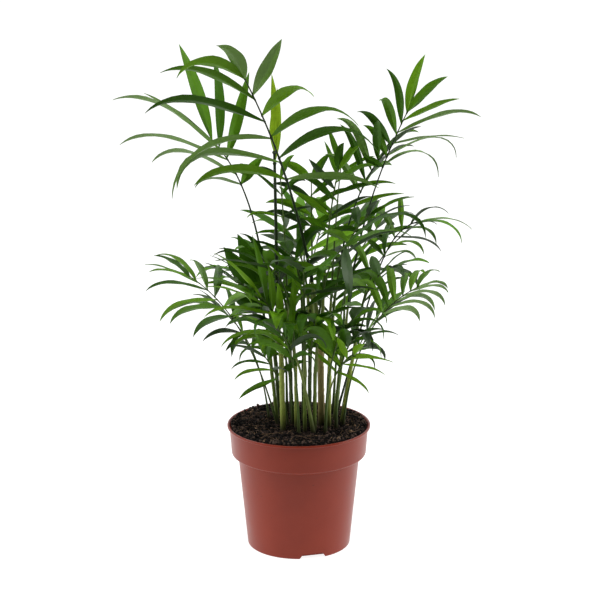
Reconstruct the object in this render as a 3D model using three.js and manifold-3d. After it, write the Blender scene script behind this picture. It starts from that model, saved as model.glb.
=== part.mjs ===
// Parlour palm (Chamaedorea elegans): a clump of slender stems and feathered fronds in its nursery pot.
// Millimetres, +Z up, -Y the front. The origin is the middle of the pot's flat underside.
// Bearings are degrees from +X toward +Y; leans are degrees from the vertical.
import * as THREE from "three";
import { mergeVertices } from "three/addons/utils/BufferGeometryUtils.js";
import Module from "manifold-3d";

const wasm = await Module();
wasm.setup();

// ---- driving dimensions ----------------------------------------------------------------------

const GAP = 0.3; // clearance between neighbouring pieces
const PAST = 1; // how far a cut runs past the face that it opens

const POT = {
  height: 105,
  lipRadius: 60,
  lipHeight: 1.8,
  collarTop: 58.2, // outer radius of the collar under the lip
  collarFoot: 56.4,
  collarHeight: 24.8,
  shoulderTop: 51, // outer radius of the body where the collar steps in to it
  step: 2, // height over which the wall steps out to the collar
  baseRadius: 43.2,
  wall: 1.4,
  floor: 2,
  bevel: 1.2, // on the foot and on the collar's lower edge
  lipBevel: 0.7,
  sides: 40,
};
const NOTCH = { count: 3, bearing: 286, width: 24, roof: 17, height: 4.5, depth: 8 };
const DRAIN = { count: 6, radius: 3.5, ring: 22, sides: 12 };

// The soil's mound: heights of its top, shoulder and edge, and radii of its flat top and shoulder.
const SOIL = { top: 106, shoulder: 105.8, edge: 105, topRadius: 41, shoulderRadius: 50, sides: 36 };

const STEM_SIDES = 8;
const STEM_RINGS = [0, 0.06, 0.5, 1]; // shares of the height; the second ends the swollen foot
const STEM_SWELL = 1.15; // foot radius over the radius just above it

const RIB_STEPS = 48; // steps along a frond's stalk and rib
const STALK_BANDS = 3; // straight bands of the solid along the stalk and along the blade
const BLADE_BANDS = 5;
const RIB_SIDES = 3;
const STALK_INSET = 0.2; // how far inside a stem's rim the stalks on it are centred
const RIB_PAST = 1.5; // length of rib past the last pair of leaflets

const LEAF_STEPS = 24; // steps along a leaflet
const LONG_LEAFLET = 58; // from this length on, a leaflet's solid has three bands, and below it two
const LONG_CUTS = [0, 7, 15, 24]; // steps where the solid keeps a section
const SHORT_CUTS = [0, 11, 24];
const LEAF_KEEL = 0.013; // depth of the keel over the leaflet's length
const ROOT_KEEL = 0.4; // its depth at the root over the rest
const LEAF_WIDEST = 0.4; // share of the length where the leaflet is widest
const LEAF_ROOT = 0.1; // width at the root over the full width
const LEAF_POINT = 2.2; // power of the share past the widest place by which the tip narrows
const STEEPEST = 0.12; // a drooping leaflet stops this many radians short of plumb

const FIRST_LENGTH = 0.84; // first pair's length over the longest pair's
const LONGEST_AT = 0.4; // share of the blade where the leaflets are longest
const TAPER_POWER = 1.5; // how late their lengths fall off, and how late they close up to the rib
const SPREAD_POWER = 1.6;
const LAST_WIDER = 1.2; // last pair's width over the others'
const UNTWISTED = [0, 0];
const STAGGER = 0.11; // shift of the right leaflets up and of the left ones down, over their spacing
const CURL = { least: 0.8, range: 1.4 }; // power of the share of a leaflet by which its droop gathers
const SWAY = { least: 6, range: 10 }; // degrees that a leaflet swings toward the frond's tip
// Most that one leaflet differs from the rule, either way: degrees, or a share of its size.
const VARIES = { root: 0.12, spread: 7, lift: 8, length: 0.08, width: 0.12, droop: 0.35 };
// Where a leaflet's space is taken: degrees of droop and of lift added, and share of its length kept.
const LEAF_TRIES = [
  [0, 0, 1],
  [25, 0, 1],
  [-25, 0, 1],
  [0, 14, 1],
  [0, -14, 1],
  [20, 12, 0.9],
  [-20, -12, 0.9],
  [0, 26, 0.8],
  [0, -26, 0.8],
  [0, 0, 0.7],
  [20, 12, 0.6],
  [0, 0, 0.5],
];

const COLOURS = {
  pot: [0xb5523a, 0.42],
  soil: [0x2b1d14, 0.95],
  stem: [0x9aa860, 0.55],
  frond: [0x2f6b2a, 0.5],
  youngFrond: [0x62a338, 0.5],
};

// Stems: foot on the soil, height, bearing and amount of lean, radius at foot and top.
const STEMS = [
  { x: -18, y: 2, height: 62, toward: 190, lean: 6, foot: 1.9, top: 1.6 },
  { x: -13, y: -20, height: 78, toward: 230, lean: 2, foot: 2.7, top: 2.2 },
  { x: -2, y: -14, height: 60, toward: 250, lean: 2, foot: 1.9, top: 1.5 },
  { x: 5, y: -23, height: 52, toward: 270, lean: 3, foot: 1.9, top: 1.5 },
  { x: 13, y: -21, height: 56, toward: 280, lean: 3, foot: 2.0, top: 1.6 },
  { x: 19, y: -7, height: 95, toward: 200, lean: 1, foot: 3.4, top: 2.6 },
  { x: 25, y: -11, height: 80, toward: 300, lean: 1, foot: 2.1, top: 1.8 },
  { x: 30, y: 4, height: 72, toward: 10, lean: 6, foot: 2.2, top: 1.9 },
  { x: 36, y: -1, height: 64, toward: 350, lean: 9, foot: 2.0, top: 1.6 },
  { x: -6, y: 13, height: 84, toward: 120, lean: 3, foot: 2.1, top: 1.7 },
  { x: 9, y: 19, height: 92, toward: 80, lean: 3, foot: 2.1, top: 1.7 },
  { x: 24, y: 20, height: 80, toward: 50, lean: 4, foot: 2.2, top: 1.8 },
  { x: 4, y: 3, height: 86, toward: 90, lean: 1, foot: 2.2, top: 1.8 },
  { x: -16, y: 18, height: 74, toward: 150, lean: 5, foot: 2.1, top: 1.8 },
];

// Leaflets of a full-grown, a middling and a low frond: length and width, pairs along the rib, angle
// from the rib at the first and last pair, droop toward the tip, lift above the rib's plane, how far
// the faces turn level, the last pair's length over the longest, how late the rib bends, how many times
// the common most a leaflet strays from the rule, and the stalk's radius at its foot and at the tip.
const TALL = {
  leaflet: 90, width: 9.5, pairs: 6, spread: [60, 26], droop: 62, lift: 10, level: 0.3, taper: 0.72,
  bend: 2, wild: 1, stalk: [1.5, 0.5],
};
const MIDDLE = {
  leaflet: 62, width: 7, pairs: 4, spread: [64, 26], droop: 50, lift: 10, level: 0.35, taper: 0.75,
  bend: 2, wild: 2.2, stalk: [1.1, 0.45],
};
const LOW = {
  leaflet: 52, width: 6.5, pairs: 4, spread: [60, 26], droop: 50, lift: 10, level: 0.35, taper: 0.75,
  bend: 2, wild: 2, stalk: [0.8, 0.4],
};

// Fronds: the stem they crown, or their own foot in the soil; the bearing they lean toward and the one
// their upper face turns to; lean at foot and tip; length of bare stalk and of blade. Where a frond
// has left and right, they give each leaflet's spread, lift, length and droop, from the lowest up. Its
// twists turn the faces of the first and the last leaflet on that side about their own lines.
const FRONDS = [
  { name: "tall_frond_1", ...TALL, seed: 86, stem: 6, footing: 170, toward: 229, facing: 265,
    lean: [10, 34], petiole: 126, blade: 101, bend: 0.9, width: 10.5,
    left: [[60, 10, 80, 70], [75, 20, 110, 115], [55, -30, 110, 100], [55, 10, 100, 70], [30, 0, 85, 60],
      [25, 0, 65, 100]],
    right: [[90, -10, 80, 40], [60, -10, 110, 90], [60, -10, 100, 80], [52, -10, 72, 80], [45, 0, 62, 12],
      [10, 0, 50, 50]] },
  { name: "tall_frond_2", ...TALL, seed: 366, stem: 14, footing: 90, toward: 152, facing: 258,
    lean: [9, 53], petiole: 126, blade: 46, bend: 2.8, pairs: 5, stalk: [1.2, 0.45], leftTwist: [50, 50],
    left: [[50, 10, 45, 75], [40, 30, 90, 75], [35, 20, 105, 60], [10, 0, 80, 20], [5, 5, 100, 60]],
    right: [[60, 10, 30, 30], [120, -10, 20, 40], [55, -10, 75, 5], [45, 0, 80, 30], [30, 5, 90, 5]] },
  { name: "tall_frond_3", ...TALL, seed: 41, stem: 8, footing: 310, toward: 10, facing: 280, lean: [3, 27],
    petiole: 148, blade: 50, bend: 1, width: 7, stalk: [1, 0.45], rightTwist: [75, 0],
    left: [[85, 0, 20, 0], [45, 0, 35, 60], [60, -20, 55, 60], [50, -30, 60, 80], [30, 0, 50, 60],
      [20, 10, 50, 10]],
    right: [[50, 40, 75, 120], [45, 20, 75, 120], [55, 0, 60, 30], [45, 10, 75, 60], [40, 0, 50, 30],
      [15, 10, 45, 40]] },
  { name: "tall_frond_4", ...TALL, seed: 381, stem: 12, footing: 290, toward: 340, facing: 310,
    lean: [6, 35], petiole: 117, blade: 33, pairs: 4, spread: [52, 31], lift: 30, leaflet: 66, width: 7,
    stalk: [1, 0.45] },
  { name: "spear_leaf", ...TALL, seed: 12, stem: 2, toward: 180, facing: 270, lean: [1, 1], petiole: 146,
    blade: 12, pairs: 2, width: 5.8, stalk: [1.8, 1.1], young: true,
    left: [[5, 0, 58, 2], [2, 0, 46, 3]],
    right: [[10, 5, 62, 2], [4, 0, 64, 3]] },
  { name: "side_frond_1", ...MIDDLE, seed: 108, foot: [-18, -5], toward: 184, facing: 233, lean: [16, 56],
    petiole: 102, blade: 50, pairs: 6, spread: [80, 23], droop: 49, lift: 0, leaflet: 72, width: 7.5,
    stalk: [0.8, 0.4], taper: 0.5, wild: 1 },
  { name: "side_frond_2", ...MIDDLE, seed: 70, foot: [12, -27], toward: 204, facing: 242, lean: [10, 42],
    petiole: 84, blade: 48, bend: 1.9, pairs: 6, width: 6.4, stalk: [1.4, 0.5], wild: 1, young: true,
    left: [[70, 0, 32, 110], [78, 0, 66, 60], [78, 10, 60, 50], [66, 0, 66, 60], [56, 10, 60, 10],
      [34, 0, 56, 40]],
    right: [[32, 50, 66, 10], [70, 80, 40, 40], [60, 80, 40, 30], [46, 60, 56, 10], [32, 60, 58, 5],
      [8, 0, 60, 20]] },
  { name: "side_frond_3", ...MIDDLE, seed: 180, foot: [31, 12], toward: 4, facing: 298, lean: [15, 88],
    petiole: 145, blade: 45, bend: 8, pairs: 6, spread: [69, 30], droop: 74, leaflet: 48, width: 5.5,
    stalk: [1, 0.45], level: 0.6, taper: 1, wild: 1 },
  { name: "side_frond_4", ...MIDDLE, seed: 134, foot: [37, -8], toward: 354, facing: 295, lean: [7, 63],
    petiole: 104, blade: 38, bend: 1.8, pairs: 6, spread: [60, 48], droop: 75, lift: 18, leaflet: 56,
    stalk: [0.8, 0.4], taper: 0.6, wild: 1 },
  { name: "low_frond_1", ...LOW, seed: 321, foot: [22, -17], toward: 312, facing: 256, lean: [4, 62],
    petiole: 54, blade: 30, bend: 1.6, spread: [80, 32], droop: 36, leaflet: 38, width: 6, wild: 1,
    young: true },
  { name: "low_frond_2", ...LOW, seed: 10, foot: [-9, -9], toward: 215, facing: 250, lean: [8, 40],
    petiole: 44, blade: 26, bend: 1.6,
    left: [[105, 0, 44, 30], [80, 0, 38, 60], [60, 0, 36, 70], [30, 0, 34, 50]],
    right: [[70, 0, 36, 60], [60, 0, 40, 50], [40, 0, 36, 40], [20, 0, 30, 40]] },
  { name: "low_frond_3", ...LOW, seed: 11, stem: 1, footing: 120, toward: 170, facing: 280, lean: [4, 20],
    petiole: 32, blade: 14, pairs: 2, width: 14,
    left: [[45, 0, 32, 15], [18, 0, 54, 10]],
    right: [[40, 20, 34, 30], [6, 0, 58, 8]] },
  { name: "middle_frond_1", ...MIDDLE, seed: 13, stem: 12, footing: 170, toward: 20, facing: 280,
    lean: [3, 6], petiole: 78, blade: 58, pairs: 5, width: 5,
    left: [[60, 0, 36, 50], [55, 0, 36, 45], [50, 0, 42, 40], [30, 20, 34, 20], [26, 0, 34, 15]],
    right: [[62, 0, 40, 50], [64, 0, 60, 35], [70, 0, 50, 40], [48, 0, 34, 40], [32, 0, 30, 20]] },
  { name: "middle_frond_2", ...MIDDLE, seed: 14, stem: 11, footing: 10, toward: 100, facing: 275,
    lean: [2, 5], petiole: 70, blade: 40, width: 6.5,
    left: [[62, 0, 42, 50], [58, 0, 42, 60], [56, 0, 38, 60], [44, 0, 32, 60]],
    right: [[64, 0, 44, 50], [60, 0, 40, 50], [52, 0, 34, 50], [30, 0, 28, 30]] },
  { name: "middle_frond_3", ...MIDDLE, seed: 15, stem: 10, footing: 265, toward: 200, facing: 235,
    lean: [10, 60], petiole: 22, blade: 46, leaflet: 54 },
  { name: "middle_frond_4", ...MIDDLE, seed: 16, stem: 13, toward: 88, facing: 60, lean: [6, 66],
    petiole: 44, blade: 50, leaflet: 58 },
  { name: "middle_frond_5", ...MIDDLE, seed: 17, stem: 11, footing: 170, toward: 125, facing: 120,
    lean: [8, 72], petiole: 26, blade: 50, leaflet: 56 },
  { name: "middle_frond_6", ...MIDDLE, seed: 18, foot: [29, 26], toward: 40, facing: 50, lean: [4, 60],
    petiole: 118, blade: 50, bend: 3, leaflet: 56 },
  { name: "middle_frond_7", ...MIDDLE, seed: 19, foot: [-10, 26], toward: 105, facing: 100, lean: [3, 78],
    petiole: 92, blade: 50, bend: 3, leaflet: 52 },
  { name: "middle_frond_8", ...MIDDLE, seed: 20, stem: 4, toward: 268, facing: 262, lean: [4, 62],
    petiole: 52, blade: 58 },
  { name: "middle_frond_9", ...MIDDLE, seed: 21, stem: 5, toward: 298, facing: 295, lean: [4, 64],
    petiole: 70, blade: 60, width: 8.5,
    left: [[75, 10, 50, 70], [80, 20, 56, 120], [70, -30, 50, 90], [60, -60, 56, 70]],
    right: [[70, 10, 56, 40], [55, 20, 66, 50], [70, 35, 98, 130], [40, 20, 60, 60]] },
  { name: "middle_frond_10", ...MIDDLE, seed: 22, stem: 7, footing: 330, toward: 322, facing: 300,
    lean: [4, 50], petiole: 66, blade: 50,
    left: [[75, 0, 44, 60], [60, 0, 50, 60], [45, 0, 46, 40], [30, 0, 40, 30]],
    right: [[60, 20, 52, 60], [45, 10, 56, 40], [40, 20, 50, 40], [20, 0, 44, 30]] },
  { name: "middle_frond_11", ...MIDDLE, seed: 23, stem: 3, toward: 238, facing: 245, lean: [5, 66],
    petiole: 48, blade: 54 },
  { name: "middle_frond_12", ...MIDDLE, seed: 24, stem: 6, footing: 330, toward: 330, facing: 275,
    lean: [3, 14], petiole: 70, blade: 56, pairs: 5, spread: [70, 22], droop: 40, leaflet: 38, width: 5.6 },
  { name: "middle_frond_13", ...MIDDLE, seed: 25, stem: 9, footing: 80, toward: 25, facing: 330,
    lean: [8, 56], petiole: 46, blade: 56 },
  { name: "middle_frond_14", ...MIDDLE, seed: 26, stem: 8, footing: 100, toward: 80, facing: 20,
    lean: [8, 66], petiole: 46, blade: 54, width: 8,
    left: [[38, -40, 56, 10], [50, -20, 50, 40], [40, 0, 48, 40], [30, 0, 44, 30]],
    right: [[60, 0, 44, 50], [60, 10, 46, 40], [50, 10, 44, 40], [30, 0, 40, 30]] },
  { name: "middle_frond_15", ...MIDDLE, seed: 27, stem: 9, footing: 270, toward: 318, facing: 320,
    lean: [8, 66], petiole: 40, blade: 52, leaflet: 48 },
  { name: "middle_frond_16", ...MIDDLE, seed: 28, stem: 14, footing: 250, toward: 185, facing: 200,
    lean: [8, 76], petiole: 20, blade: 44, leaflet: 48 },
  { name: "middle_frond_17", ...MIDDLE, seed: 29, stem: 1, footing: 290, toward: 222, facing: 225,
    lean: [8, 72], petiole: 36, blade: 44, leaflet: 52 },
  { name: "middle_frond_18", ...MIDDLE, seed: 30, stem: 10, footing: 120, toward: 170, facing: 275,
    lean: [2, 5], petiole: 76, blade: 46, spread: [75, 40], leaflet: 30, width: 4 },
  { name: "inner_frond_1", ...MIDDLE, seed: 31, foot: [0, -31], toward: 235, facing: 255, lean: [2, 50],
    petiole: 66, blade: 44, pairs: 5, spread: [48, 20], droop: 110, leaflet: 50, width: 9 },
  { name: "inner_frond_2", ...MIDDLE, seed: 32, foot: [22, -27], toward: 310, facing: 290, lean: [2, 50],
    petiole: 70, blade: 44, spread: [50, 20], droop: 110, leaflet: 48, width: 9 },
  { name: "inner_frond_3", ...MIDDLE, seed: 33, stem: 13, footing: 230, toward: 245, facing: 255,
    lean: [3, 60], petiole: 24, blade: 50, droop: 70, leaflet: 56, width: 9 },
  { name: "inner_frond_4", ...MIDDLE, seed: 42, foot: [9, -13], toward: 277, facing: 268, lean: [2, 60],
    petiole: 74, blade: 44, pairs: 5, spread: [50, 20], droop: 110, leaflet: 52, width: 9 },
  { name: "inner_frond_5", ...MIDDLE, seed: 43, foot: [-5, -3], toward: 225, facing: 240, lean: [2, 60],
    petiole: 60, blade: 44, pairs: 5, spread: [50, 20], droop: 100, leaflet: 50, width: 9 },
  { name: "inner_frond_6", ...MIDDLE, seed: 44, foot: [31, -15], toward: 300, facing: 275, lean: [2, 54],
    petiole: 54, blade: 40, spread: [50, 20], droop: 110, leaflet: 46, width: 9 },
  { name: "back_frond_1", ...MIDDLE, seed: 34, foot: [4, 32], toward: 70, facing: 70, lean: [4, 62],
    petiole: 112, blade: 56, bend: 3 },
  { name: "low_frond_4", ...LOW, seed: 35, foot: [-6, 27], toward: 105, facing: 105, lean: [9, 62],
    petiole: 76, blade: 46 },
  { name: "low_frond_5", ...LOW, seed: 36, foot: [18, 30], toward: 70, facing: 70, lean: [8, 62],
    petiole: 66, blade: 46 },
  { name: "low_frond_6", ...LOW, seed: 37, foot: [36, 16], toward: 28, facing: 20, lean: [9, 60],
    petiole: 58, blade: 40, leaflet: 46 },
  { name: "low_frond_7", ...LOW, seed: 38, foot: [-25, 12], toward: 160, facing: 165, lean: [9, 58],
    petiole: 62, blade: 40, leaflet: 48 },
];

// ---- small helpers ---------------------------------------------------------------------------

const radians = THREE.MathUtils.degToRad;
const clamp = THREE.MathUtils.clamp;
const UP = new THREE.Vector3(0, 0, 1);

const vec = (x, y, z) => new THREE.Vector3(x, y, z);
const cross = (a, b) => a.clone().cross(b);
const along = (p, d, length) => p.clone().addScaledVector(d, length);
const mix = (a, b, share) => a.clone().lerp(b, share);
const squareTo = (v, axis) => along(v, axis, -v.dot(axis)).normalize();

// A seeded run of numbers from 0 to 1, the same on every machine.
function dice(seed) {
  let state = (Math.imul(seed, 2654435761) + 12345) >>> 0;
  const roll = () => {
    state = (Math.imul(state, 1664525) + 1013904223) >>> 0;
    return state / 4294967296;
  };
  for (let i = 0; i < 3; i += 1) roll();
  return roll;
}

function solid(geometry) {
  const bare = new THREE.BufferGeometry()
    .setAttribute("position", geometry.getAttribute("position"))
    .setIndex(geometry.index);
  const merged = mergeVertices(bare, 1e-4);
  return new wasm.Manifold(
    new wasm.Mesh({
      numProp: 3,
      vertProperties: new Float32Array(merged.attributes.position.array),
      triVerts: new Uint32Array(merged.index.array),
    }),
  );
}

// A closed body through rings of points that turn the same way, seen from its far end.
function loft(rings) {
  const sides = rings[0].length;
  const faces = [];
  for (let i = 1; i < sides - 1; i += 1) faces.push(0, i + 1, i);
  rings.slice(1).forEach((ring, r) => {
    const low = r * sides;
    const high = low + sides;
    for (let i = 0; i < sides; i += 1) {
      const next = (i + 1) % sides;
      if (ring.length === 1) faces.push(low + i, low + next, high);
      else faces.push(low + i, low + next, high + next, low + i, high + next, high + i);
    }
  });
  const last = rings[rings.length - 1];
  const end = (rings.length - 1) * sides;
  for (let i = 1; i < last.length - 1; i += 1) faces.push(end, end + i, end + i + 1);
  return new wasm.Manifold(
    new wasm.Mesh({
      numProp: 3,
      vertProperties: new Float32Array(rings.flat().flatMap((p) => p.toArray())),
      triVerts: new Uint32Array(faces),
    }),
  );
}

// A ring of points about a centre, in the plane of two directions.
function ring(centre, side, top, radius, sides) {
  return Array.from({ length: sides }, (_, i) => {
    const turn = (2 * Math.PI * i) / sides;
    return along(along(centre, side, radius * Math.cos(turn)), top, radius * Math.sin(turn));
  });
}

function mesh(name, body, [color, roughness]) {
  const { vertProperties, triVerts } = body.getMesh();
  const geometry = new THREE.BufferGeometry()
    .setAttribute("position", new THREE.BufferAttribute(vertProperties, 3))
    .setIndex(new THREE.BufferAttribute(triVerts, 1));
  const made = new THREE.Mesh(
    geometry,
    new THREE.MeshStandardMaterial({ color, roughness, metalness: 0 }),
  );
  made.name = name;
  return made;
}

// A solid turned about the upright axis from its profile of radius and height.
function turned(profile, sides) {
  const lathe = new THREE.LatheGeometry(
    profile.map(([r, z]) => new THREE.Vector2(r, z)),
    sides,
  );
  return solid(lathe.rotateX(Math.PI / 2));
}

// ---- pot and soil ----------------------------------------------------------------------------

const COLLAR_BOTTOM = POT.height - POT.collarHeight;
const LIP_BOTTOM = POT.height - POT.lipHeight;

// Inside radius of the body's tapering wall, and of the lip's flare over the collar.
const bodyInside = (z) =>
  POT.baseRadius - POT.wall + ((POT.shoulderTop - POT.baseRadius) * z) / COLLAR_BOTTOM;
const lipInside = (z) =>
  POT.collarTop - POT.wall + ((POT.lipRadius - POT.collarTop) * (z - LIP_BOTTOM)) / POT.lipHeight;

// A foot notch's wedge, grown on every side by the given thickness.
function notch(bearing, grow) {
  const foot = NOTCH.width / 2 + grow;
  const roof = NOTCH.roof / 2 + grow;
  const outline = new THREE.Shape([
    new THREE.Vector2(-foot, -PAST),
    new THREE.Vector2(foot, -PAST),
    new THREE.Vector2(roof, NOTCH.height + grow),
    new THREE.Vector2(-roof, NOTCH.height + grow),
  ]);
  const depth = NOTCH.depth + 2 * grow + 4 * PAST;
  const wedge = new THREE.ExtrudeGeometry(outline, { depth, bevelEnabled: false, steps: 1 });
  wedge.rotateX(Math.PI / 2); // outline now stands up, extruded toward -Y
  wedge.translate(0, -(POT.baseRadius - NOTCH.depth - grow), 0);
  wedge.rotateZ(radians(bearing + 90));
  return solid(wedge);
}

const notches = (grow) =>
  Array.from({ length: NOTCH.count }, (_, i) => notch(NOTCH.bearing + (360 / NOTCH.count) * i, grow));

function drainHoles() {
  return Array.from({ length: DRAIN.count }, (_, i) => {
    const hole = new THREE.CylinderGeometry(DRAIN.radius, DRAIN.radius, 4 * POT.floor, DRAIN.sides);
    const bearing = radians(NOTCH.bearing + (360 / DRAIN.count) * (i + 0.5));
    hole.rotateX(Math.PI / 2);
    hole.translate(DRAIN.ring * Math.cos(bearing), DRAIN.ring * Math.sin(bearing), 0);
    return solid(hole);
  });
}

function pot() {
  const top = POT.height;
  const outside = turned(
    [
      [0, 0],
      [POT.baseRadius - POT.bevel, 0],
      [POT.baseRadius, POT.bevel],
      [POT.shoulderTop, COLLAR_BOTTOM - POT.step],
      [POT.collarFoot - POT.bevel, COLLAR_BOTTOM],
      [POT.collarFoot, COLLAR_BOTTOM + POT.bevel],
      [POT.collarTop, LIP_BOTTOM - POT.lipBevel],
      [POT.lipRadius - POT.lipBevel, LIP_BOTTOM],
      [POT.lipRadius, LIP_BOTTOM + POT.lipBevel],
      [POT.lipRadius, top - POT.lipBevel],
      [POT.lipRadius - POT.lipBevel, top],
      [0, top],
    ],
    POT.sides,
  );
  const inside = turned(
    [
      [0, POT.floor],
      [bodyInside(POT.floor), POT.floor],
      [bodyInside(COLLAR_BOTTOM), COLLAR_BOTTOM],
      [POT.collarFoot - POT.wall, COLLAR_BOTTOM + 2 * POT.wall],
      [lipInside(LIP_BOTTOM), LIP_BOTTOM],
      [lipInside(top), top],
      [lipInside(top), top + PAST],
      [0, top + PAST],
    ],
    POT.sides,
  );
  const cavity = notches(POT.wall).reduce((body, wedge) => body.subtract(wedge), inside);
  const cuts = [cavity, ...notches(0), ...drainHoles()];
  return cuts.reduce((body, cut) => body.subtract(cut), outside);
}

function soil() {
  const floor = POT.floor + GAP;
  const body = turned(
    [
      [0, floor],
      [bodyInside(floor) - GAP, floor],
      [bodyInside(COLLAR_BOTTOM) - GAP, COLLAR_BOTTOM + GAP],
      [POT.collarFoot - POT.wall - GAP, COLLAR_BOTTOM + 2 * (POT.wall + GAP)],
      [lipInside(LIP_BOTTOM) - 2 * GAP, LIP_BOTTOM],
      [lipInside(SOIL.edge) - 2 * GAP, SOIL.edge],
      [SOIL.shoulderRadius, SOIL.shoulder],
      [SOIL.topRadius, SOIL.top],
      [0, SOIL.top],
    ],
    SOIL.sides,
  );
  return notches(POT.wall + GAP).reduce((left, wedge) => left.subtract(wedge), body);
}

// ---- stems -----------------------------------------------------------------------------------

const stemPoint = (stem, height) => {
  const slide = height * Math.tan(radians(stem.lean));
  const bearing = radians(stem.toward);
  return vec(stem.x + slide * Math.cos(bearing), stem.y + slide * Math.sin(bearing), SOIL.top + height);
};

// A tapering, leaning stem, cut level at the soil and at the crown of stalks on its top.
function stem(shape) {
  const radius = (share) => {
    const straight = shape.foot / STEM_SWELL;
    return share === 0 ? shape.foot : straight + (shape.top - straight) * share;
  };
  const across = vec(1, 0, 0);
  const back = vec(0, 1, 0);
  return loft(
    STEM_RINGS.map((share) => {
      const height = GAP + (shape.height - GAP) * share;
      return ring(stemPoint(shape, height), across, back, radius(share), STEM_SIDES);
    }),
  );
}

// ---- fronds ----------------------------------------------------------------------------------

// Where a stalk stands: on its stem's top, off the middle toward its footing, or on the soil.
function frondFoot(frond) {
  if (!frond.stem) return vec(frond.foot[0], frond.foot[1], SOIL.top + GAP);
  const carrier = STEMS[frond.stem - 1];
  const bearing = radians(frond.footing ?? frond.toward);
  const aside = vec(Math.cos(bearing), Math.sin(bearing), 0);
  return along(stemPoint(carrier, carrier.height + GAP), aside, carrier.top - STALK_INSET);
}

// The line of stalk and rib: points with the direction of growth at each.
function ribLine(frond) {
  const step = (frond.petiole + frond.blade) / RIB_STEPS;
  const bearing = radians(frond.toward);
  const [start, end] = frond.lean;
  const line = [];
  let point = frondFoot(frond);
  for (let i = 0; i <= RIB_STEPS; i += 1) {
    const lean = radians(start + (end - start) * (i / RIB_STEPS) ** frond.bend);
    const growth = vec(
      Math.cos(bearing) * Math.sin(lean),
      Math.sin(bearing) * Math.sin(lean),
      Math.cos(lean),
    );
    if (i > 0) point = along(along(point, growth, step / 2), line[i - 1].growth, step / 2);
    line.push({ point, growth });
  }
  return line;
}

function ribAt(line, share) {
  const place = share * RIB_STEPS;
  const i = Math.min(Math.floor(place), RIB_STEPS - 1);
  return {
    point: mix(line[i].point, line[i + 1].point, place - i),
    growth: mix(line[i].growth, line[i + 1].growth, place - i).normalize(),
  };
}

// The blade's sideways and upper directions where the rib grows along the given one.
function bladeFrame(frond, growth) {
  const facing = radians(frond.facing);
  const side = squareTo(vec(-Math.sin(facing), Math.cos(facing), 0), growth);
  return { side, top: cross(growth, side) };
}

// The middle line of a leaflet that droops and swings aside as it grows.
function leafletLine({ root, growth, face, length, droop, curl, sway }) {
  const weights = Array.from({ length: LEAF_STEPS }, (_, k) => ((k + 1) / LEAF_STEPS) ** curl);
  const total = weights.reduce((sum, w) => sum + w);
  const line = [{ point: root, growth, face }];
  weights.forEach((weight) => {
    const last = line[line.length - 1];
    const plumb = Math.acos(clamp(-last.growth.z, -1, 1));
    const turn = Math.min((radians(droop) * weight) / total, Math.max(plumb - STEEPEST, 0));
    const hinge = cross(UP, last.growth).normalize();
    const bent = last.growth.clone().applyAxisAngle(hinge, turn);
    const aside = cross(bent, last.face);
    const next = along(bent, aside, radians(sway) / LEAF_STEPS).normalize();
    line.push({
      point: along(last.point, next, length / LEAF_STEPS),
      growth: next,
      face: squareTo(last.face, next),
    });
  });
  return line;
}

// Width at a share of the leaflet's length, over its full width.
function leafletShape(share) {
  const swell = Math.sin((Math.min(share / LEAF_WIDEST, 1) * Math.PI) / 2);
  const narrow = Math.max((share - LEAF_WIDEST) / (1 - LEAF_WIDEST), 0) ** LEAF_POINT;
  return (LEAF_ROOT + (1 - LEAF_ROOT) * swell) * (1 - narrow);
}

// Length of the leaflets at a share of the blade, over the longest ones'.
function lengthAt(up, taper) {
  if (up < LONGEST_AT) return FIRST_LENGTH + ((1 - FIRST_LENGTH) * up) / LONGEST_AT;
  return 1 - (1 - taper) * ((up - LONGEST_AT) / (1 - LONGEST_AT)) ** TAPER_POWER;
}

// The direction of a leaflet that spreads from the rib and lifts from the blade's plane, in degrees.
function leafletStart(growth, side, top, spread, lift) {
  const off = Math.sin(radians(spread));
  return growth
    .clone()
    .multiplyScalar(Math.cos(radians(spread)))
    .addScaledVector(side, off * Math.cos(radians(lift)))
    .addScaledVector(top, off * Math.sin(radians(lift)))
    .normalize();
}

// A frond's leaflets by pairs from the lowest up, right and left of the rib.
function leaflets(frond) {
  const roll = dice(frond.seed);
  const either = () => roll() * 2 - 1;
  const line = ribLine(frond);
  const bare = frond.petiole / (frond.petiole + frond.blade);
  const last = frond.pairs - 1;
  const highest = 1 - RIB_PAST / frond.blade;
  const [low, high] = frond.spread;
  const made = [];
  for (let i = 0; i <= last; i += 1) {
    const up = i / last;
    [1, -1].forEach((hand) => {
      const vary = {};
      Object.entries(VARIES).forEach(([name, most]) => {
        vary[name] = frond.wild * most * either();
      });
      const shift = i === last ? 0 : (STAGGER * hand + vary.root) / last;
      const share = clamp(up + shift, 0, highest);
      const { point, growth } = ribAt(line, bare + (1 - bare) * share);
      const { side, top } = bladeFrame(frond, growth);
      const byRule = [
        low + (high - low) * up ** SPREAD_POWER + vary.spread,
        frond.lift + vary.lift,
        frond.leaflet * lengthAt(up, frond.taper) * (1 + vary.length),
        frond.droop * (1 + vary.droop),
      ];
      const own = hand === 1 ? frond.right : frond.left;
      const [spread, lift, length, droop] = own ? own[i] : byRule;
      const out = leafletStart(growth, side.multiplyScalar(hand), top, spread, lift);
      const [first, final] = (hand === 1 ? frond.rightTwist : frond.leftTwist) ?? UNTWISTED;
      const twist = hand * (first + (final - first) * up);
      made.push({
        root: point,
        growth: out,
        face: squareTo(mix(top, UP, frond.level), out).applyAxisAngle(out, radians(twist)),
        length,
        width: frond.width * (1 + vary.width) * (i === last ? LAST_WIDER : 1),
        droop,
        curl: CURL.least + CURL.range * roll(),
        sway: hand * (SWAY.least + SWAY.range * roll()),
      });
    });
  }
  return made;
}

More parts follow.
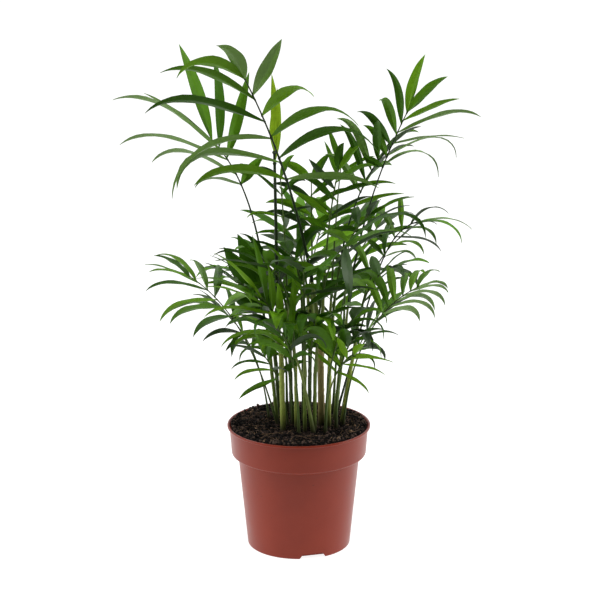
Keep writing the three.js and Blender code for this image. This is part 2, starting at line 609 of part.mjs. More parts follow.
// A leaflet's solid: a blade with a flat upper face and a keel, grown all round by the given margin.
function leafletSolid(leaflet, margin) {
  const line = leafletLine(leaflet);
  const keel = leaflet.length * LEAF_KEEL;
  const cuts = leaflet.length < LONG_LEAFLET ? SHORT_CUTS : LONG_CUTS;
  const rings = cuts.map((step) => {
    const { point, growth, face } = line[step];
    if (step === LEAF_STEPS) return [point];
    const share = leafletShape(step / LEAF_STEPS);
    const half = (leaflet.width / 2) * share + margin;
    const deep = (step === 0 ? keel * ROOT_KEEL : keel) + margin;
    const aside = cross(growth, face);
    const raised = along(point, face, margin);
    return [along(raised, aside, half), along(point, face, -deep), along(raised, aside, -half)];
  });
  return loft(rings);
}

function ribSolid(frond) {
  const line = ribLine(frond);
  const bare = frond.petiole / (frond.petiole + frond.blade);
  const [foot, tip] = frond.stalk;
  const cuts = [
    ...Array.from({ length: STALK_BANDS }, (_, i) => (bare * i) / STALK_BANDS),
    ...Array.from({ length: BLADE_BANDS + 1 }, (_, i) => bare + ((1 - bare) * i) / BLADE_BANDS),
  ];
  const rings = cuts.map((share) => {
    const { point, growth } = ribAt(line, share);
    const { side, top } = bladeFrame(frond, share === 0 ? UP : growth); // cut level at the foot
    return ring(point, side, top, foot + (tip - foot) * share, RIB_SIDES);
  });
  return loft(rings);
}

// ---- the whole plant -------------------------------------------------------------------------

const placed = []; // every body that the leaflets keep clear of, with its bounding box

function place(name, body) {
  placed.push({ name, body, box: body.boundingBox() });
}

const boxesMeet = (a, b) => [0, 1, 2].every((i) => a.min[i] <= b.max[i] && b.min[i] <= a.max[i]);

function isClear(body, owner) {
  const box = body.boundingBox();
  return placed.every(
    (other) =>
      other.name === owner || !boxesMeet(box, other.box) || body.intersect(other.body).isEmpty(),
  );
}

// A leaflet as it grows, or bent aside or shorter where its space is taken, or none.
function fittedLeaflet(leaflet, owner) {
  const aside = cross(leaflet.growth, leaflet.face);
  const tries = LEAF_TRIES.map(([droop, lift, length]) => ({
    ...leaflet,
    growth: leaflet.growth.clone().applyAxisAngle(aside, radians(lift)),
    face: leaflet.face.clone().applyAxisAngle(aside, radians(lift)),
    droop: leaflet.droop + droop,
    length: leaflet.length * length,
  }));
  return tries.find((tried) => isClear(leafletSolid(tried, GAP), owner));
}

function frondSolid(frond, rib) {
  const blades = leaflets(frond)
    .map((leaflet) => fittedLeaflet(leaflet, frond.name))
    .filter((leaflet) => leaflet)
    .map((leaflet) => leafletSolid(leaflet, 0));
  blades.forEach((blade) => place(frond.name, blade));
  return wasm.Manifold.union([rib, ...blades]);
}

function plant() {
  const group = new THREE.Group();
  const add = (name, body, look) => group.add(mesh(name, body, look));
  add("pot", pot(), COLOURS.pot);
  add("soil", soil(), COLOURS.soil);
  STEMS.forEach((shape, i) => {
    const name = `stem_${i + 1}`;
    const body = stem(shape);
    place(name, body);
    add(name, body, COLOURS.stem);
  });
  const ribs = FRONDS.map(ribSolid);
  FRONDS.forEach(({ name }, i) => place(name, ribs[i]));
  FRONDS.forEach((frond, i) => {
    const look = frond.young ? COLOURS.youngFrond : COLOURS.frond;
    add(frond.name, frondSolid(frond, ribs[i]), look);
  });
  return group;
}

export default plant();
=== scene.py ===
"""A parlour palm in its nursery pot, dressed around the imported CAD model.

The plant's shape is worked out by the same rule as its solids, in millimetres, and carried on to
veined, folded leaflets, channelled stalks and sheathed stems. Bearings are degrees from +X toward
+Y, leans are degrees from the vertical, and -Y is the front.
"""

import math

import bpy
import numpy as np
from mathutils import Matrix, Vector, kdtree, noise


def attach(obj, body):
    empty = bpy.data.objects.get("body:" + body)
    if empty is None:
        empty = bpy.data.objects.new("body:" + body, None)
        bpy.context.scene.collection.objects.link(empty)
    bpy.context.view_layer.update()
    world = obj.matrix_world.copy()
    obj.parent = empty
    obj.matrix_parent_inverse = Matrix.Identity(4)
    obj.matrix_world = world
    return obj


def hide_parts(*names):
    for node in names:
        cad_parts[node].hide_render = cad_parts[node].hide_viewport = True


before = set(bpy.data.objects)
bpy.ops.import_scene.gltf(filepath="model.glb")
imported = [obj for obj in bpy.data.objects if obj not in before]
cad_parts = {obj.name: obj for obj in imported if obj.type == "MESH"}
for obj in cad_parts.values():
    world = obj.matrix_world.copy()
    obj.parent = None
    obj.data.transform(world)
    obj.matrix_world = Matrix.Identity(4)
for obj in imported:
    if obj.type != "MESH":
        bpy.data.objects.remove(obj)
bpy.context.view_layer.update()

MM = 0.001
UP = np.array([0.0, 0.0, 1.0])

# ---- the plant's driving dimensions, in mm, as its solids have them ----

GAP = 0.3  # clearance between neighbouring solids
SOIL_TOP = 106.0
STEM_SWELL = 1.15  # a stem's foot over the straight part just above it

RIB_STEPS = 48  # steps along a frond's stalk and rib
STALK_INSET = 0.2  # how far inside a stem's rim the stalks on it are centred
RIB_PAST = 1.5  # length of rib past the last pair of leaflets

LEAF_STEPS = 24  # steps along a leaflet
LEAF_WIDEST = 0.4  # share of the length where the leaflet is widest
LEAF_ROOT = 0.1  # width at the root over the full width
LEAF_POINT = 2.2  # power of the share past the widest place by which the tip narrows
STEEPEST = 0.12  # a drooping leaflet stops this many radians short of plumb

FIRST_LENGTH = 0.84  # first pair's length over the longest pair's
LONGEST_AT = 0.4  # share of the blade where the leaflets are longest
TAPER_POWER = 1.5
SPREAD_POWER = 1.6
LAST_WIDER = 1.2  # last pair's width over the others'
UNTWISTED = (0, 0)
STAGGER = 0.11  # shift of the right leaflets up and of the left ones down, over their spacing
CURL_LEAST, CURL_RANGE = 0.8, 1.4  # power of the share of a leaflet by which its droop gathers
SWAY_LEAST, SWAY_RANGE = 6, 10  # degrees that a leaflet swings toward the frond's tip
# Most that one leaflet differs from the rule, either way: degrees, or a share of its size.
VARIES = {"root": 0.12, "spread": 7, "lift": 8, "length": 0.08, "width": 0.12, "droop": 0.35}
# Where a leaflet's space is taken: droop and lift added, and share of its length kept.
LEAF_TRIES = [
    (0, 0, 1), (25, 0, 1), (-25, 0, 1), (0, 14, 1), (0, -14, 1), (20, 12, 0.9), (-20, -12, 0.9),
    (0, 26, 0.8), (0, -26, 0.8), (0, 0, 0.7), (20, 12, 0.6), (0, 0, 0.5),
]
TIP_MATCH = 0.05  # a leaflet grew where its solid has a tip this near

# Stems: foot on the soil, height, bearing and amount of lean, radius at foot and top.
STEM_SIZES = ("x", "y", "height", "toward", "lean", "foot", "top")
STEMS = [
    dict(zip(STEM_SIZES, sizes))
    for sizes in (
        (-18, 2, 62, 190, 6, 1.9, 1.6),
        (-13, -20, 78, 230, 2, 2.7, 2.2),
        (-2, -14, 60, 250, 2, 1.9, 1.5),
        (5, -23, 52, 270, 3, 1.9, 1.5),
        (13, -21, 56, 280, 3, 2.0, 1.6),
        (19, -7, 95, 200, 1, 3.4, 2.6),
        (25, -11, 80, 300, 1, 2.1, 1.8),
        (30, 4, 72, 10, 6, 2.2, 1.9),
        (36, -1, 64, 350, 9, 2.0, 1.6),
        (-6, 13, 84, 120, 3, 2.1, 1.7),
        (9, 19, 92, 80, 3, 2.1, 1.7),
        (24, 20, 80, 50, 4, 2.2, 1.8),
        (4, 3, 86, 90, 1, 2.2, 1.8),
        (-16, 18, 74, 150, 5, 2.1, 1.8),
    )
]

# Kinds of frond: spread is that of the first and last pair, taper the last leaflets' length over
# the longest ones', bend the power by which the rib's lean grows, stalk its radii in mm.
TALL = dict(
    leaflet=90, width=9.5, pairs=6, spread=(60, 26), droop=62, lift=10, level=0.3, taper=0.72,
    bend=2, wild=1, stalk=(1.5, 0.5),
)
MIDDLE = dict(
    leaflet=62, width=7, pairs=4, spread=(64, 26), droop=50, lift=10, level=0.35, taper=0.75,
    bend=2, wild=2.2, stalk=(1.1, 0.45),
)
SIDE = {**MIDDLE, "pairs": 6, "wild": 1}
INNER = {**MIDDLE, "width": 9, "spread": (50, 20), "droop": 110}
LOW = {**MIDDLE, "leaflet": 52, "width": 6.5, "spread": (60, 26), "wild": 2, "stalk": (0.8, 0.4)}


def frond(name, kind, seed, toward, facing, lean, petiole, blade, **own):
    """A frond of a kind with its own sizes.

    Its rib leans toward a bearing, more at its tip than at its foot, and its blade faces another.
    It stands on the stem of that number, at a bearing round its rim, or at a foot on the soil.
    left and right give the spread, lift, length and droop of leaflets that break the rule.
    """
    grown = dict(seed=seed, toward=toward, facing=facing, lean=lean, petiole=petiole, blade=blade)
    return {"name": name, **kind, **grown, **own}


# Each frond's name, kind, seed, bearings toward and facing, leans, and lengths of stalk and blade.
FRONDS = [
    frond("tall_frond_1", TALL, 86, 229, 265, (10, 34), 126, 101, stem=6, rim=170, bend=0.9,
        width=10.5,
        left=((60, 10, 80, 70), (75, 20, 110, 115), (55, -30, 110, 100), (55, 10, 100, 70),
            (30, 0, 85, 60), (25, 0, 65, 100)),
        right=((90, -10, 80, 40), (60, -10, 110, 90), (60, -10, 100, 80), (52, -10, 72, 80),
            (45, 0, 62, 12), (10, 0, 50, 50))),
    frond("tall_frond_2", TALL, 366, 152, 258, (9, 53), 126, 46, stem=14, rim=90, bend=2.8,
        stalk=(1.2, 0.45), pairs=5, left_twist=(50, 50),
        left=((50, 10, 45, 75), (40, 30, 90, 75), (35, 20, 105, 60), (10, 0, 80, 20),
            (5, 5, 100, 60)),
        right=((60, 10, 30, 30), (120, -10, 20, 40), (55, -10, 75, 5), (45, 0, 80, 30),
            (30, 5, 90, 5))),
    frond("tall_frond_3", TALL, 41, 10, 280, (3, 27), 148, 50, stem=8, rim=310, bend=1, width=7,
        stalk=(1, 0.45), right_twist=(75, 0),
        left=((85, 0, 20, 0), (45, 0, 35, 60), (60, -20, 55, 60), (50, -30, 60, 80),
            (30, 0, 50, 60), (20, 10, 50, 10)),
        right=((50, 40, 75, 120), (45, 20, 75, 120), (55, 0, 60, 30), (45, 10, 75, 60),
            (40, 0, 50, 30), (15, 10, 45, 40))),
    frond("tall_frond_4", TALL, 381, 340, 310, (6, 35), 117, 33, stem=12, rim=290, pairs=4,
        spread=(52, 31), lift=30, leaflet=66, width=7, stalk=(1, 0.45)),
    frond("spear_leaf", TALL, 12, 180, 270, (1, 1), 146, 12, stem=2, width=5.8, stalk=(1.8, 1.1),
        pairs=2,
        left=((5, 0, 58, 2), (2, 0, 46, 3)),
        right=((10, 5, 62, 2), (4, 0, 64, 3))),
    frond("side_frond_1", SIDE, 108, 184, 233, (16, 56), 102, 50, foot=(-18, -5), spread=(80, 23),
        droop=49, lift=0, leaflet=72, width=7.5, stalk=(0.8, 0.4), taper=0.5),
    frond("side_frond_2", SIDE, 70, 204, 242, (10, 42), 84, 48, foot=(12, -27), bend=1.9, width=6.4,
        stalk=(1.4, 0.5),
        left=((70, 0, 32, 110), (78, 0, 66, 60), (78, 10, 60, 50), (66, 0, 66, 60),
            (56, 10, 60, 10), (34, 0, 56, 40)),
        right=((32, 50, 66, 10), (70, 80, 40, 40), (60, 80, 40, 30), (46, 60, 56, 10),
            (32, 60, 58, 5), (8, 0, 60, 20))),
    frond("side_frond_3", SIDE, 180, 4, 298, (15, 88), 145, 45, foot=(31, 12), bend=8,
        spread=(69, 30), droop=74, leaflet=48, width=5.5, stalk=(1, 0.45), level=0.6, taper=1),
    frond("side_frond_4", SIDE, 134, 354, 295, (7, 63), 104, 38, foot=(37, -8), bend=1.8,
        spread=(60, 48), droop=75, lift=18, leaflet=56, width=7, stalk=(0.8, 0.4), taper=0.6),
    frond("low_frond_1", LOW, 321, 312, 256, (4, 62), 54, 30, wild=1, foot=(22, -17), bend=1.6,
        spread=(80, 32), droop=36, leaflet=38, width=6),
    frond("low_frond_2", LOW, 10, 215, 250, (8, 40), 44, 26, foot=(-9, -9), bend=1.6,
        left=((105, 0, 44, 30), (80, 0, 38, 60), (60, 0, 36, 70), (30, 0, 34, 50)),
        right=((70, 0, 36, 60), (60, 0, 40, 50), (40, 0, 36, 40), (20, 0, 30, 40))),
    frond("low_frond_3", LOW, 11, 170, 280, (4, 20), 32, 14, stem=1, rim=120, width=14, pairs=2,
        left=((45, 0, 32, 15), (18, 0, 54, 10)),
        right=((40, 20, 34, 30), (6, 0, 58, 8))),
    frond("middle_frond_1", MIDDLE, 13, 20, 280, (3, 6), 78, 58, stem=12, rim=170, pairs=5, width=5,
        left=((60, 0, 36, 50), (55, 0, 36, 45), (50, 0, 42, 40), (30, 20, 34, 20), (26, 0, 34, 15)),
        right=((62, 0, 40, 50), (64, 0, 60, 35), (70, 0, 50, 40), (48, 0, 34, 40),
            (32, 0, 30, 20))),
    frond("middle_frond_2", MIDDLE, 14, 100, 275, (2, 5), 70, 40, stem=11, rim=10, width=6.5,
        left=((62, 0, 42, 50), (58, 0, 42, 60), (56, 0, 38, 60), (44, 0, 32, 60)),
        right=((64, 0, 44, 50), (60, 0, 40, 50), (52, 0, 34, 50), (30, 0, 28, 30))),
    frond("middle_frond_3", MIDDLE, 15, 200, 235, (10, 60), 22, 46, stem=10, rim=265, leaflet=54),
    frond("middle_frond_4", MIDDLE, 16, 88, 60, (6, 66), 44, 50, stem=13, leaflet=58),
    frond("middle_frond_5", MIDDLE, 17, 125, 120, (8, 72), 26, 50, stem=11, rim=170, leaflet=56),
    frond("middle_frond_6", MIDDLE, 18, 40, 50, (4, 60), 118, 50, foot=(29, 26), bend=3,
        leaflet=56),
    frond("middle_frond_7", MIDDLE, 19, 105, 100, (3, 78), 92, 50, foot=(-10, 26), bend=3,
        leaflet=52),
    frond("middle_frond_8", MIDDLE, 20, 268, 262, (4, 62), 52, 58, stem=4),
    frond("middle_frond_9", MIDDLE, 21, 298, 295, (4, 64), 70, 60, stem=5, width=8.5,
        left=((75, 10, 50, 70), (80, 20, 56, 120), (70, -30, 50, 90), (60, -60, 56, 70)),
        right=((70, 10, 56, 40), (55, 20, 66, 50), (70, 35, 98, 130), (40, 20, 60, 60))),
    frond("middle_frond_10", MIDDLE, 22, 322, 300, (4, 50), 66, 50, stem=7, rim=330,
        left=((75, 0, 44, 60), (60, 0, 50, 60), (45, 0, 46, 40), (30, 0, 40, 30)),
        right=((60, 20, 52, 60), (45, 10, 56, 40), (40, 20, 50, 40), (20, 0, 44, 30))),
    frond("middle_frond_11", MIDDLE, 23, 238, 245, (5, 66), 48, 54, stem=3),
    frond("middle_frond_12", MIDDLE, 24, 330, 275, (3, 14), 70, 56, stem=6, rim=330, pairs=5,
        spread=(70, 22), leaflet=38, width=5.6, droop=40),
    frond("middle_frond_13", MIDDLE, 25, 25, 330, (8, 56), 46, 56, stem=9, rim=80),
    frond("middle_frond_14", MIDDLE, 26, 80, 20, (8, 66), 46, 54, stem=8, rim=100, width=8,
        left=((38, -40, 56, 10), (50, -20, 50, 40), (40, 0, 48, 40), (30, 0, 44, 30)),
        right=((60, 0, 44, 50), (60, 10, 46, 40), (50, 10, 44, 40), (30, 0, 40, 30))),
    frond("middle_frond_15", MIDDLE, 27, 318, 320, (8, 66), 40, 52, stem=9, rim=270, leaflet=48),
    frond("middle_frond_16", MIDDLE, 28, 185, 200, (8, 76), 20, 44, stem=14, rim=250, leaflet=48),
    frond("middle_frond_17", MIDDLE, 29, 222, 225, (8, 72), 36, 44, stem=1, rim=290, leaflet=52),
    frond("middle_frond_18", MIDDLE, 30, 170, 275, (2, 5), 76, 46, stem=10, rim=120,
        spread=(75, 40), leaflet=30, width=4),
    frond("inner_frond_1", INNER, 31, 235, 255, (2, 50), 66, 44, foot=(0, -31), pairs=5,
        spread=(48, 20), leaflet=50),
    frond("inner_frond_2", INNER, 32, 310, 290, (2, 50), 70, 44, foot=(22, -27), leaflet=48),
    frond("inner_frond_3", INNER, 33, 245, 255, (3, 60), 24, 50, stem=13, rim=230, spread=(64, 26),
        leaflet=56, droop=70),
    frond("inner_frond_4", INNER, 42, 277, 268, (2, 60), 74, 44, foot=(9, -13), pairs=5,
        leaflet=52),
    frond("inner_frond_5", INNER, 43, 225, 240, (2, 60), 60, 44, foot=(-5, -3), pairs=5, leaflet=50,
        droop=100),
    frond("inner_frond_6", INNER, 44, 300, 275, (2, 54), 54, 40, foot=(31, -15), leaflet=46),
    frond("back_frond_1", MIDDLE, 34, 70, 70, (4, 62), 112, 56, foot=(4, 32), bend=3),
    frond("low_frond_4", LOW, 35, 105, 105, (9, 62), 76, 46, foot=(-6, 27)),
    frond("low_frond_5", LOW, 36, 70, 70, (8, 62), 66, 46, foot=(18, 30)),
    frond("low_frond_6", LOW, 37, 28, 20, (9, 60), 58, 40, foot=(36, 16), leaflet=46),
    frond("low_frond_7", LOW, 38, 160, 165, (9, 58), 62, 40, foot=(-25, 12), leaflet=48),
]

# ---- small helpers ----

# The solids' seeded numbers: how a seed starts their run, and how each follows from the last.
SEED_TIMES, SEED_PLUS = 2654435761, 12345
ROLL_TIMES, ROLL_PLUS = 1664525, 1013904223
DICE_SIZE, FIRST_SKIPPED = 2**32, 3


def unit(v):
    return v / np.linalg.norm(v)


def square_to(v, axis):
    """The unit direction nearest v that is square to a unit axis."""
    return unit(v - axis * v.dot(axis))


def turned(v, axis, angle):
    """v turned about a unit axis by an angle in radians."""
    across = np.cross(axis, v) * math.sin(angle)
    return v * math.cos(angle) + across + axis * axis.dot(v) * (1 - math.cos(angle))


def heading(bearing, lean=90.0):
    """The unit direction at a bearing and a lean from the vertical, in degrees."""
    bearing, lean = math.radians(bearing), math.radians(lean)
    level = math.sin(lean)
    return np.array([math.cos(bearing) * level, math.sin(bearing) * level, math.cos(lean)])


def between(low, high, share):
    return low + (high - low) * share


def clamp(value, low, high):
    return max(low, min(high, value))


def dice(seed):
    """A seeded run of numbers from 0 to 1, the same as the solids' rule draws."""
    state = (seed * SEED_TIMES + SEED_PLUS) % DICE_SIZE

    def roll():
        nonlocal state
        state = (state * ROLL_TIMES + ROLL_PLUS) % DICE_SIZE
        return state / DICE_SIZE

    for _ in range(FIRST_SKIPPED):
        roll()
    return roll


# ---- the rule of growth ----


def stem_point(shape, height):
    slide = height * math.tan(math.radians(shape["lean"]))
    return np.array([shape["x"], shape["y"], SOIL_TOP + height]) + slide * heading(shape["toward"])


def frond_foot(grown):
    if "stem" not in grown:
        x, y = grown["foot"]
        return np.array([x, y, SOIL_TOP + GAP])
    carrier = STEMS[grown["stem"] - 1]
    aside = heading(grown.get("rim", grown["toward"]))
    return stem_point(carrier, carrier["height"] + GAP) + aside * (carrier["top"] - STALK_INSET)


def rib_line(grown):
    """Points of the line of stalk and rib, and the direction of growth at each."""
    step = (grown["petiole"] + grown["blade"]) / RIB_STEPS
    start, end = grown["lean"]
    points, growths = [frond_foot(grown)], []
    for i in range(RIB_STEPS + 1):
        growth = heading(grown["toward"], between(start, end, (i / RIB_STEPS) ** grown["bend"]))
        if i:
            points.append(points[-1] + (growths[-1] + growth) * step / 2)
        growths.append(growth)
    return np.array(points), np.array(growths)


def line_at(line, place):
    """A line's point and unit directions at a place counted in its steps."""
    i = min(int(place), len(line[0]) - 2)
    point, *ways = [between(values[i], values[i + 1], place - i) for values in line]
    return [point, *(unit(way) for way in ways)]


def blade_frame(grown, growth):
    """The blade's sideways and upper directions where the rib grows along the given one."""
    side = square_to(heading(grown["facing"] + 90), growth)
    return side, np.cross(growth, side)


def length_at(up, taper):
    """Length of the leaflets at a share of the blade, over the longest ones'."""
    if up < LONGEST_AT:
        return between(FIRST_LENGTH, 1, up / LONGEST_AT)
    return 1 - (1 - taper) * ((up - LONGEST_AT) / (1 - LONGEST_AT)) ** TAPER_POWER


def leaflet_start(growth, side, top, spread, lift):
    """The direction of a leaflet that spreads from the rib and lifts from the blade, in degrees."""
    spread, lift = math.radians(spread), math.radians(lift)
    aside = side * math.sin(spread) * math.cos(lift)
    above = top * math.sin(spread) * math.sin(lift)
    return unit(growth * math.cos(spread) + aside + above)


def leaflets(grown, line):
    """A frond's leaflets by pairs from the lowest up, right and left of the rib."""
    roll = dice(grown["seed"])
    bare = grown["petiole"] / (grown["petiole"] + grown["blade"])
    last = grown["pairs"] - 1
    highest = 1 - RIB_PAST / grown["blade"]
    made = []
    for i in range(last + 1):
        up = i / last
        for hand, name in ((1, "right"), (-1, "left")):
            vary = {key: grown["wild"] * most * (roll() * 2 - 1) for key, most in VARIES.items()}
            shift = 0 if i == last else (STAGGER * hand + vary["root"]) / last
            share = bare + (1 - bare) * clamp(up + shift, 0, highest)
            point, growth = line_at(line, share * RIB_STEPS)
            side, top = blade_frame(grown, growth)
            by_rule = (
                between(*grown["spread"], up**SPREAD_POWER) + vary["spread"],
                grown["lift"] + vary["lift"],
                grown["leaflet"] * length_at(up, grown["taper"]) * (1 + vary["length"]),
                grown["droop"] * (1 + vary["droop"]),
            )
            spread, lift, length, droop = grown[name][i] if name in grown else by_rule
            out = leaflet_start(growth, side * hand, top, spread, lift)
            twist = math.radians(hand * between(*grown.get(name + "_twist", UNTWISTED), up))
            level = square_to(between(top, UP, grown["level"]), out)
            width = grown["width"] * (1 + vary["width"]) * (LAST_WIDER if i == last else 1)
            made.append(dict(
                share=share, root=point, growth=out, face=turned(level, out, twist),
                length=length, width=width, droop=droop, curl=CURL_LEAST + CURL_RANGE * roll(),
                sway=hand * (SWAY_LEAST + SWAY_RANGE * roll()),
            ))
    return made


def leaflet_line(leaflet):
    """Points, growth and face along the middle of a leaflet that droops and swings aside."""
    weights = [((k + 1) / LEAF_STEPS) ** leaflet["curl"] for k in range(LEAF_STEPS)]
    point, growth, face = leaflet["root"], leaflet["growth"], leaflet["face"]
    swing = math.radians(leaflet["sway"]) / LEAF_STEPS
    line = [(point, growth, face)]
    for weight in weights:
        plumb = math.acos(clamp(-growth[2], -1, 1))
        turn = min(math.radians(leaflet["droop"]) * weight / sum(weights), max(plumb - STEEPEST, 0))
        bent = turned(growth, unit(np.cross(UP, growth)), turn)
        growth = unit(bent + np.cross(bent, face) * swing)
        point = point + growth * leaflet["length"] / LEAF_STEPS
        face = square_to(face, growth)
        line.append((point, growth, face))
    return [np.array(values) for values in zip(*line)]


def leaflet_shape(share):
    """Width at a share of the leaflet's length, over its full width."""
    swell = math.sin(min(share / LEAF_WIDEST, 1) * math.pi / 2)
    narrow = max((share - LEAF_WIDEST) / (1 - LEAF_WIDEST), 0) ** LEAF_POINT
    return (LEAF_ROOT + (1 - LEAF_ROOT) * swell) * (1 - narrow)


def tips_of(node):
    """The vertices of a frond's solid, to be searched for the tips of its leaflets."""
    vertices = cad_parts[node].data.vertices
    tree = kdtree.KDTree(len(vertices))
    for i, vertex in enumerate(vertices):
        tree.insert(vertex.co, i)
    tree.balance()
    return tree


def fitted(leaflet, tips):
    """The leaflet and its line as its solid grew, bent aside or shorter, or None where none did."""
    aside = np.cross(leaflet["growth"], leaflet["face"])
    for droop, lift, length in LEAF_TRIES:
        lift = math.radians(lift)
        tried = {
            **leaflet,
            "growth": turned(leaflet["growth"], aside, lift),
            "face": turned(leaflet["face"], aside, lift),
            "droop": leaflet["droop"] + droop,
            "length": leaflet["length"] * length,
        }
        line = leaflet_line(tried)
        if tips.find(Vector(line[0][-1] * MM))[2] < TIP_MATCH * MM:
            return tried, line
    return None


# ---- meshes ----


class Bundle:
    """Small bodies in mm, joined into one piece, with numbers at each vertex for its material."""

    def __init__(self, *marks):
        self.points, self.faces, self.count = [], [], 0
        self.marks = {mark: [] for mark in marks}

    def add(self, points, faces, **marks):
        self.points.append(points)
        self.faces.extend(tuple(i + self.count for i in face) for face in faces)
        self.count += len(points)
        for mark, values in marks.items():
            self.marks[mark].append(np.broadcast_to(values, len(points)))


def strips(count, sides):
    """Faces between rings of points, and where the last ring starts."""
    end = (count - 1) * sides
    faces = []
    for low in range(0, end, sides):
        for i in range(sides):
            j = (i + 1) % sides
            faces.append((low + i, low + j, low + sides + j, low + sides + i))
    return faces, end


def loft(rings, tip=None):
    """A closed body through rings of points that turn one way, with a tip where one is given."""
    sides = len(rings[0])
    faces, end = strips(len(rings), sides)
    faces.insert(0, tuple(range(sides))[::-1])
    points = np.concatenate(rings)
    if tip is None:
        faces.append(tuple(range(end, end + sides)))
    else:
        points = np.vstack([points, tip])
        faces += [(end + i, end + (i + 1) % sides, end + sides) for i in range(sides)]
    return points, faces


def round_angles(sides):
    return np.arange(sides) * (2 * math.pi / sides)


def circle(sides):
    """Points of a level circle of radius 1."""
    turn = round_angles(sides)
    return np.stack([np.cos(turn), np.sin(turn), np.zeros(sides)], 1)


def linked(name, data):
    made = bpy.data.objects.new(name, data)
    bpy.context.scene.collection.objects.link(made)
    return made


def smooth(mesh, sharp):
    """Smooth faces whose edges stay sharp from an angle in degrees on."""
    mesh.polygons.foreach_set("use_smooth", [True] * len(mesh.polygons))
    mesh.set_sharp_from_angle(angle=math.radians(sharp))


def piece(name, bundle, material, nodes, sharp=50):
    """The object of a bundle, riding on the plant's one body and standing for CAD nodes."""
    mesh = bpy.data.meshes.new(name)
    points = np.concatenate(bundle.points) * MM
    mesh.from_pydata(points.tolist(), [], bundle.faces)
    for mark, values in bundle.marks.items():
        layer = mesh.attributes.new(mark, "FLOAT", "POINT")
        layer.data.foreach_set("value", np.concatenate(values).astype(np.float32))
    smooth(mesh, sharp)
    mesh.materials.append(material)
    made = linked(name, mesh)
    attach(made, "root")
    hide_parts(*nodes)
    return made


# ---- materials ----

MIX_LOW, MIX_HIGH, MIXED = 6, 7, 2  # a mix's sockets for colours


def add_node(tree, kind, inputs=None, **settings):
    made = tree.nodes.new("ShaderNode" + kind)
    for name, value in settings.items():
        setattr(made, name, value)
    for key, value in (inputs or {}).items():
        if isinstance(value, bpy.types.NodeSocket):
            tree.links.new(value, made.inputs[key])
        else:
            made.inputs[key].default_value = value
    return made


def new_material(name, **surface):
    """A material with its shader, whose sockets are set by their names with _ for a space."""
    material = bpy.data.materials.new(name)
    material.use_nodes = True
    shader = material.node_tree.nodes["Principled BSDF"]
    for key, value in surface.items():
        shader.inputs[key.replace("_", " ")].default_value = value
    return material, material.node_tree, shader


def shade(colour, factor):
    return tuple(channel * factor for channel in colour[:3]) + (1.0,)


def object_place(tree, scale=(1, 1, 1)):
    """The place in metres, stretched by a scale along each axis."""
    place = add_node(tree, "TexCoord").outputs["Object"]
    return add_node(tree, "Mapping", {0: place, "Scale": scale}).outputs[0]


def mixed_colour(tree, factor, low, high):
    inputs = {0: factor, MIX_LOW: low, MIX_HIGH: high}
    return add_node(tree, "Mix", inputs, data_type="RGBA").outputs[MIXED]


def maths(tree, operation, *values):
    return add_node(tree, "Math", dict(enumerate(values)), operation=operation).outputs[0]


def ranged(tree, value, low, high, least=0.0, most=1.0, shape="LINEAR"):
    """A value's place from low to high, as a number from the least to the most."""
    ends = {0: value, 1: low, 2: high, 3: least, 4: most}
    return add_node(tree, "MapRange", ends, interpolation_type=shape).outputs[0]


def clouds(tree, place, detail, scale=5.0):
    inputs = {"Vector": place, "Scale": scale, "Detail": detail}
    return add_node(tree, "TexNoise", inputs).outputs[0]


def bump(tree, shader, height, depth):
    """Relief of the given depth in mm."""
    made = add_node(tree, "Bump", {"Strength": 1.0, "Distance": depth * MM, "Height": height})
    tree.links.new(made.outputs[0], shader.inputs["Normal"])


VEIN_TURNS = 34.0  # radians of the veins' waves from a leaflet's midrib to its edge
VEIN_TINT, VEIN_RELIEF = 0.3, 0.03  # how far the veins have a colour of their own, and mm
VEIN_SHADE = 1.5  # of the leaf's colour
VEIN_SPAN = (0.2, 1.0)  # heights of a vein's wave between which it takes its colour
CLOUD_SHADES = (0.8, 1.2)
CLOUD_SCALE = (60, 60, 60)


def leaf_material(name, colour, sheen):
    """Satin leaf, faintly striped along its veins and clouded from place to place."""
    material, tree, shader = new_material(name, Roughness=0.4, Specular_IOR_Level=sheen)
    across = add_node(tree, "Attribute", attribute_name="across").outputs["Fac"]
    veins = maths(tree, "SINE", maths(tree, "MULTIPLY", across, VEIN_TURNS))
    lines = ranged(tree, veins, *VEIN_SPAN, shape="SMOOTHSTEP")
    cloud = clouds(tree, object_place(tree, CLOUD_SCALE), detail=3.0)
    clouded = mixed_colour(tree, cloud, *(shade(colour, factor) for factor in CLOUD_SHADES))
    tint = maths(tree, "MULTIPLY", lines, VEIN_TINT)
    veined = mixed_colour(tree, tint, clouded, shade(colour, VEIN_SHADE))
    tree.links.new(veined, shader.inputs["Base Color"])
    bump(tree, shader, veins, VEIN_RELIEF)
    return material


# A stem's foot is painted darker and browner by the soil: partly soil stain, partly painted shade
# where the stems crowd together.
FOOT_STAIN_AND_SHADE = (0.03, 0.026, 0.012, 1)
FOOT_FADES = 16.0  # mm over which a stem's dark foot fades into its own colour
STREAK_SCALE = (900, 900, 30)
STREAK_SPAN, STREAK_RELIEF = (0.35, 0.65), 0.08


def stalk_material(name, colour, streak):
    """Smooth stalk or sheath with fine streaks along it, darker and browner at its foot by the
    soil: partly soil stain and partly painted shade.
    """
    material, tree, shader = new_material(name, Roughness=0.45, Specular_IOR_Level=0.2)
    streaks = clouds(tree, object_place(tree, STREAK_SCALE), detail=4.0)
    streaked = mixed_colour(tree, ranged(tree, streaks, *STREAK_SPAN), colour, streak)
    height = add_node(tree, "SeparateXYZ", {0: object_place(tree)}).outputs["Z"]
    # Painted shade and stain at the foot, fading out upward from the soil.
    above = ranged(tree, height, SOIL_TOP * MM, (SOIL_TOP + FOOT_FADES) * MM)
    tree.links.new(mixed_colour(tree, above, FOOT_STAIN_AND_SHADE, streaked), shader.inputs["Base Color"])
    bump(tree, shader, streaks, STREAK_RELIEF)
    return material


EARTH_GRAIN, EARTH_RELIEF = 700.0, 0.5  # grains in a metre, and mm
EARTH_SPAN = (0.35, 0.7)


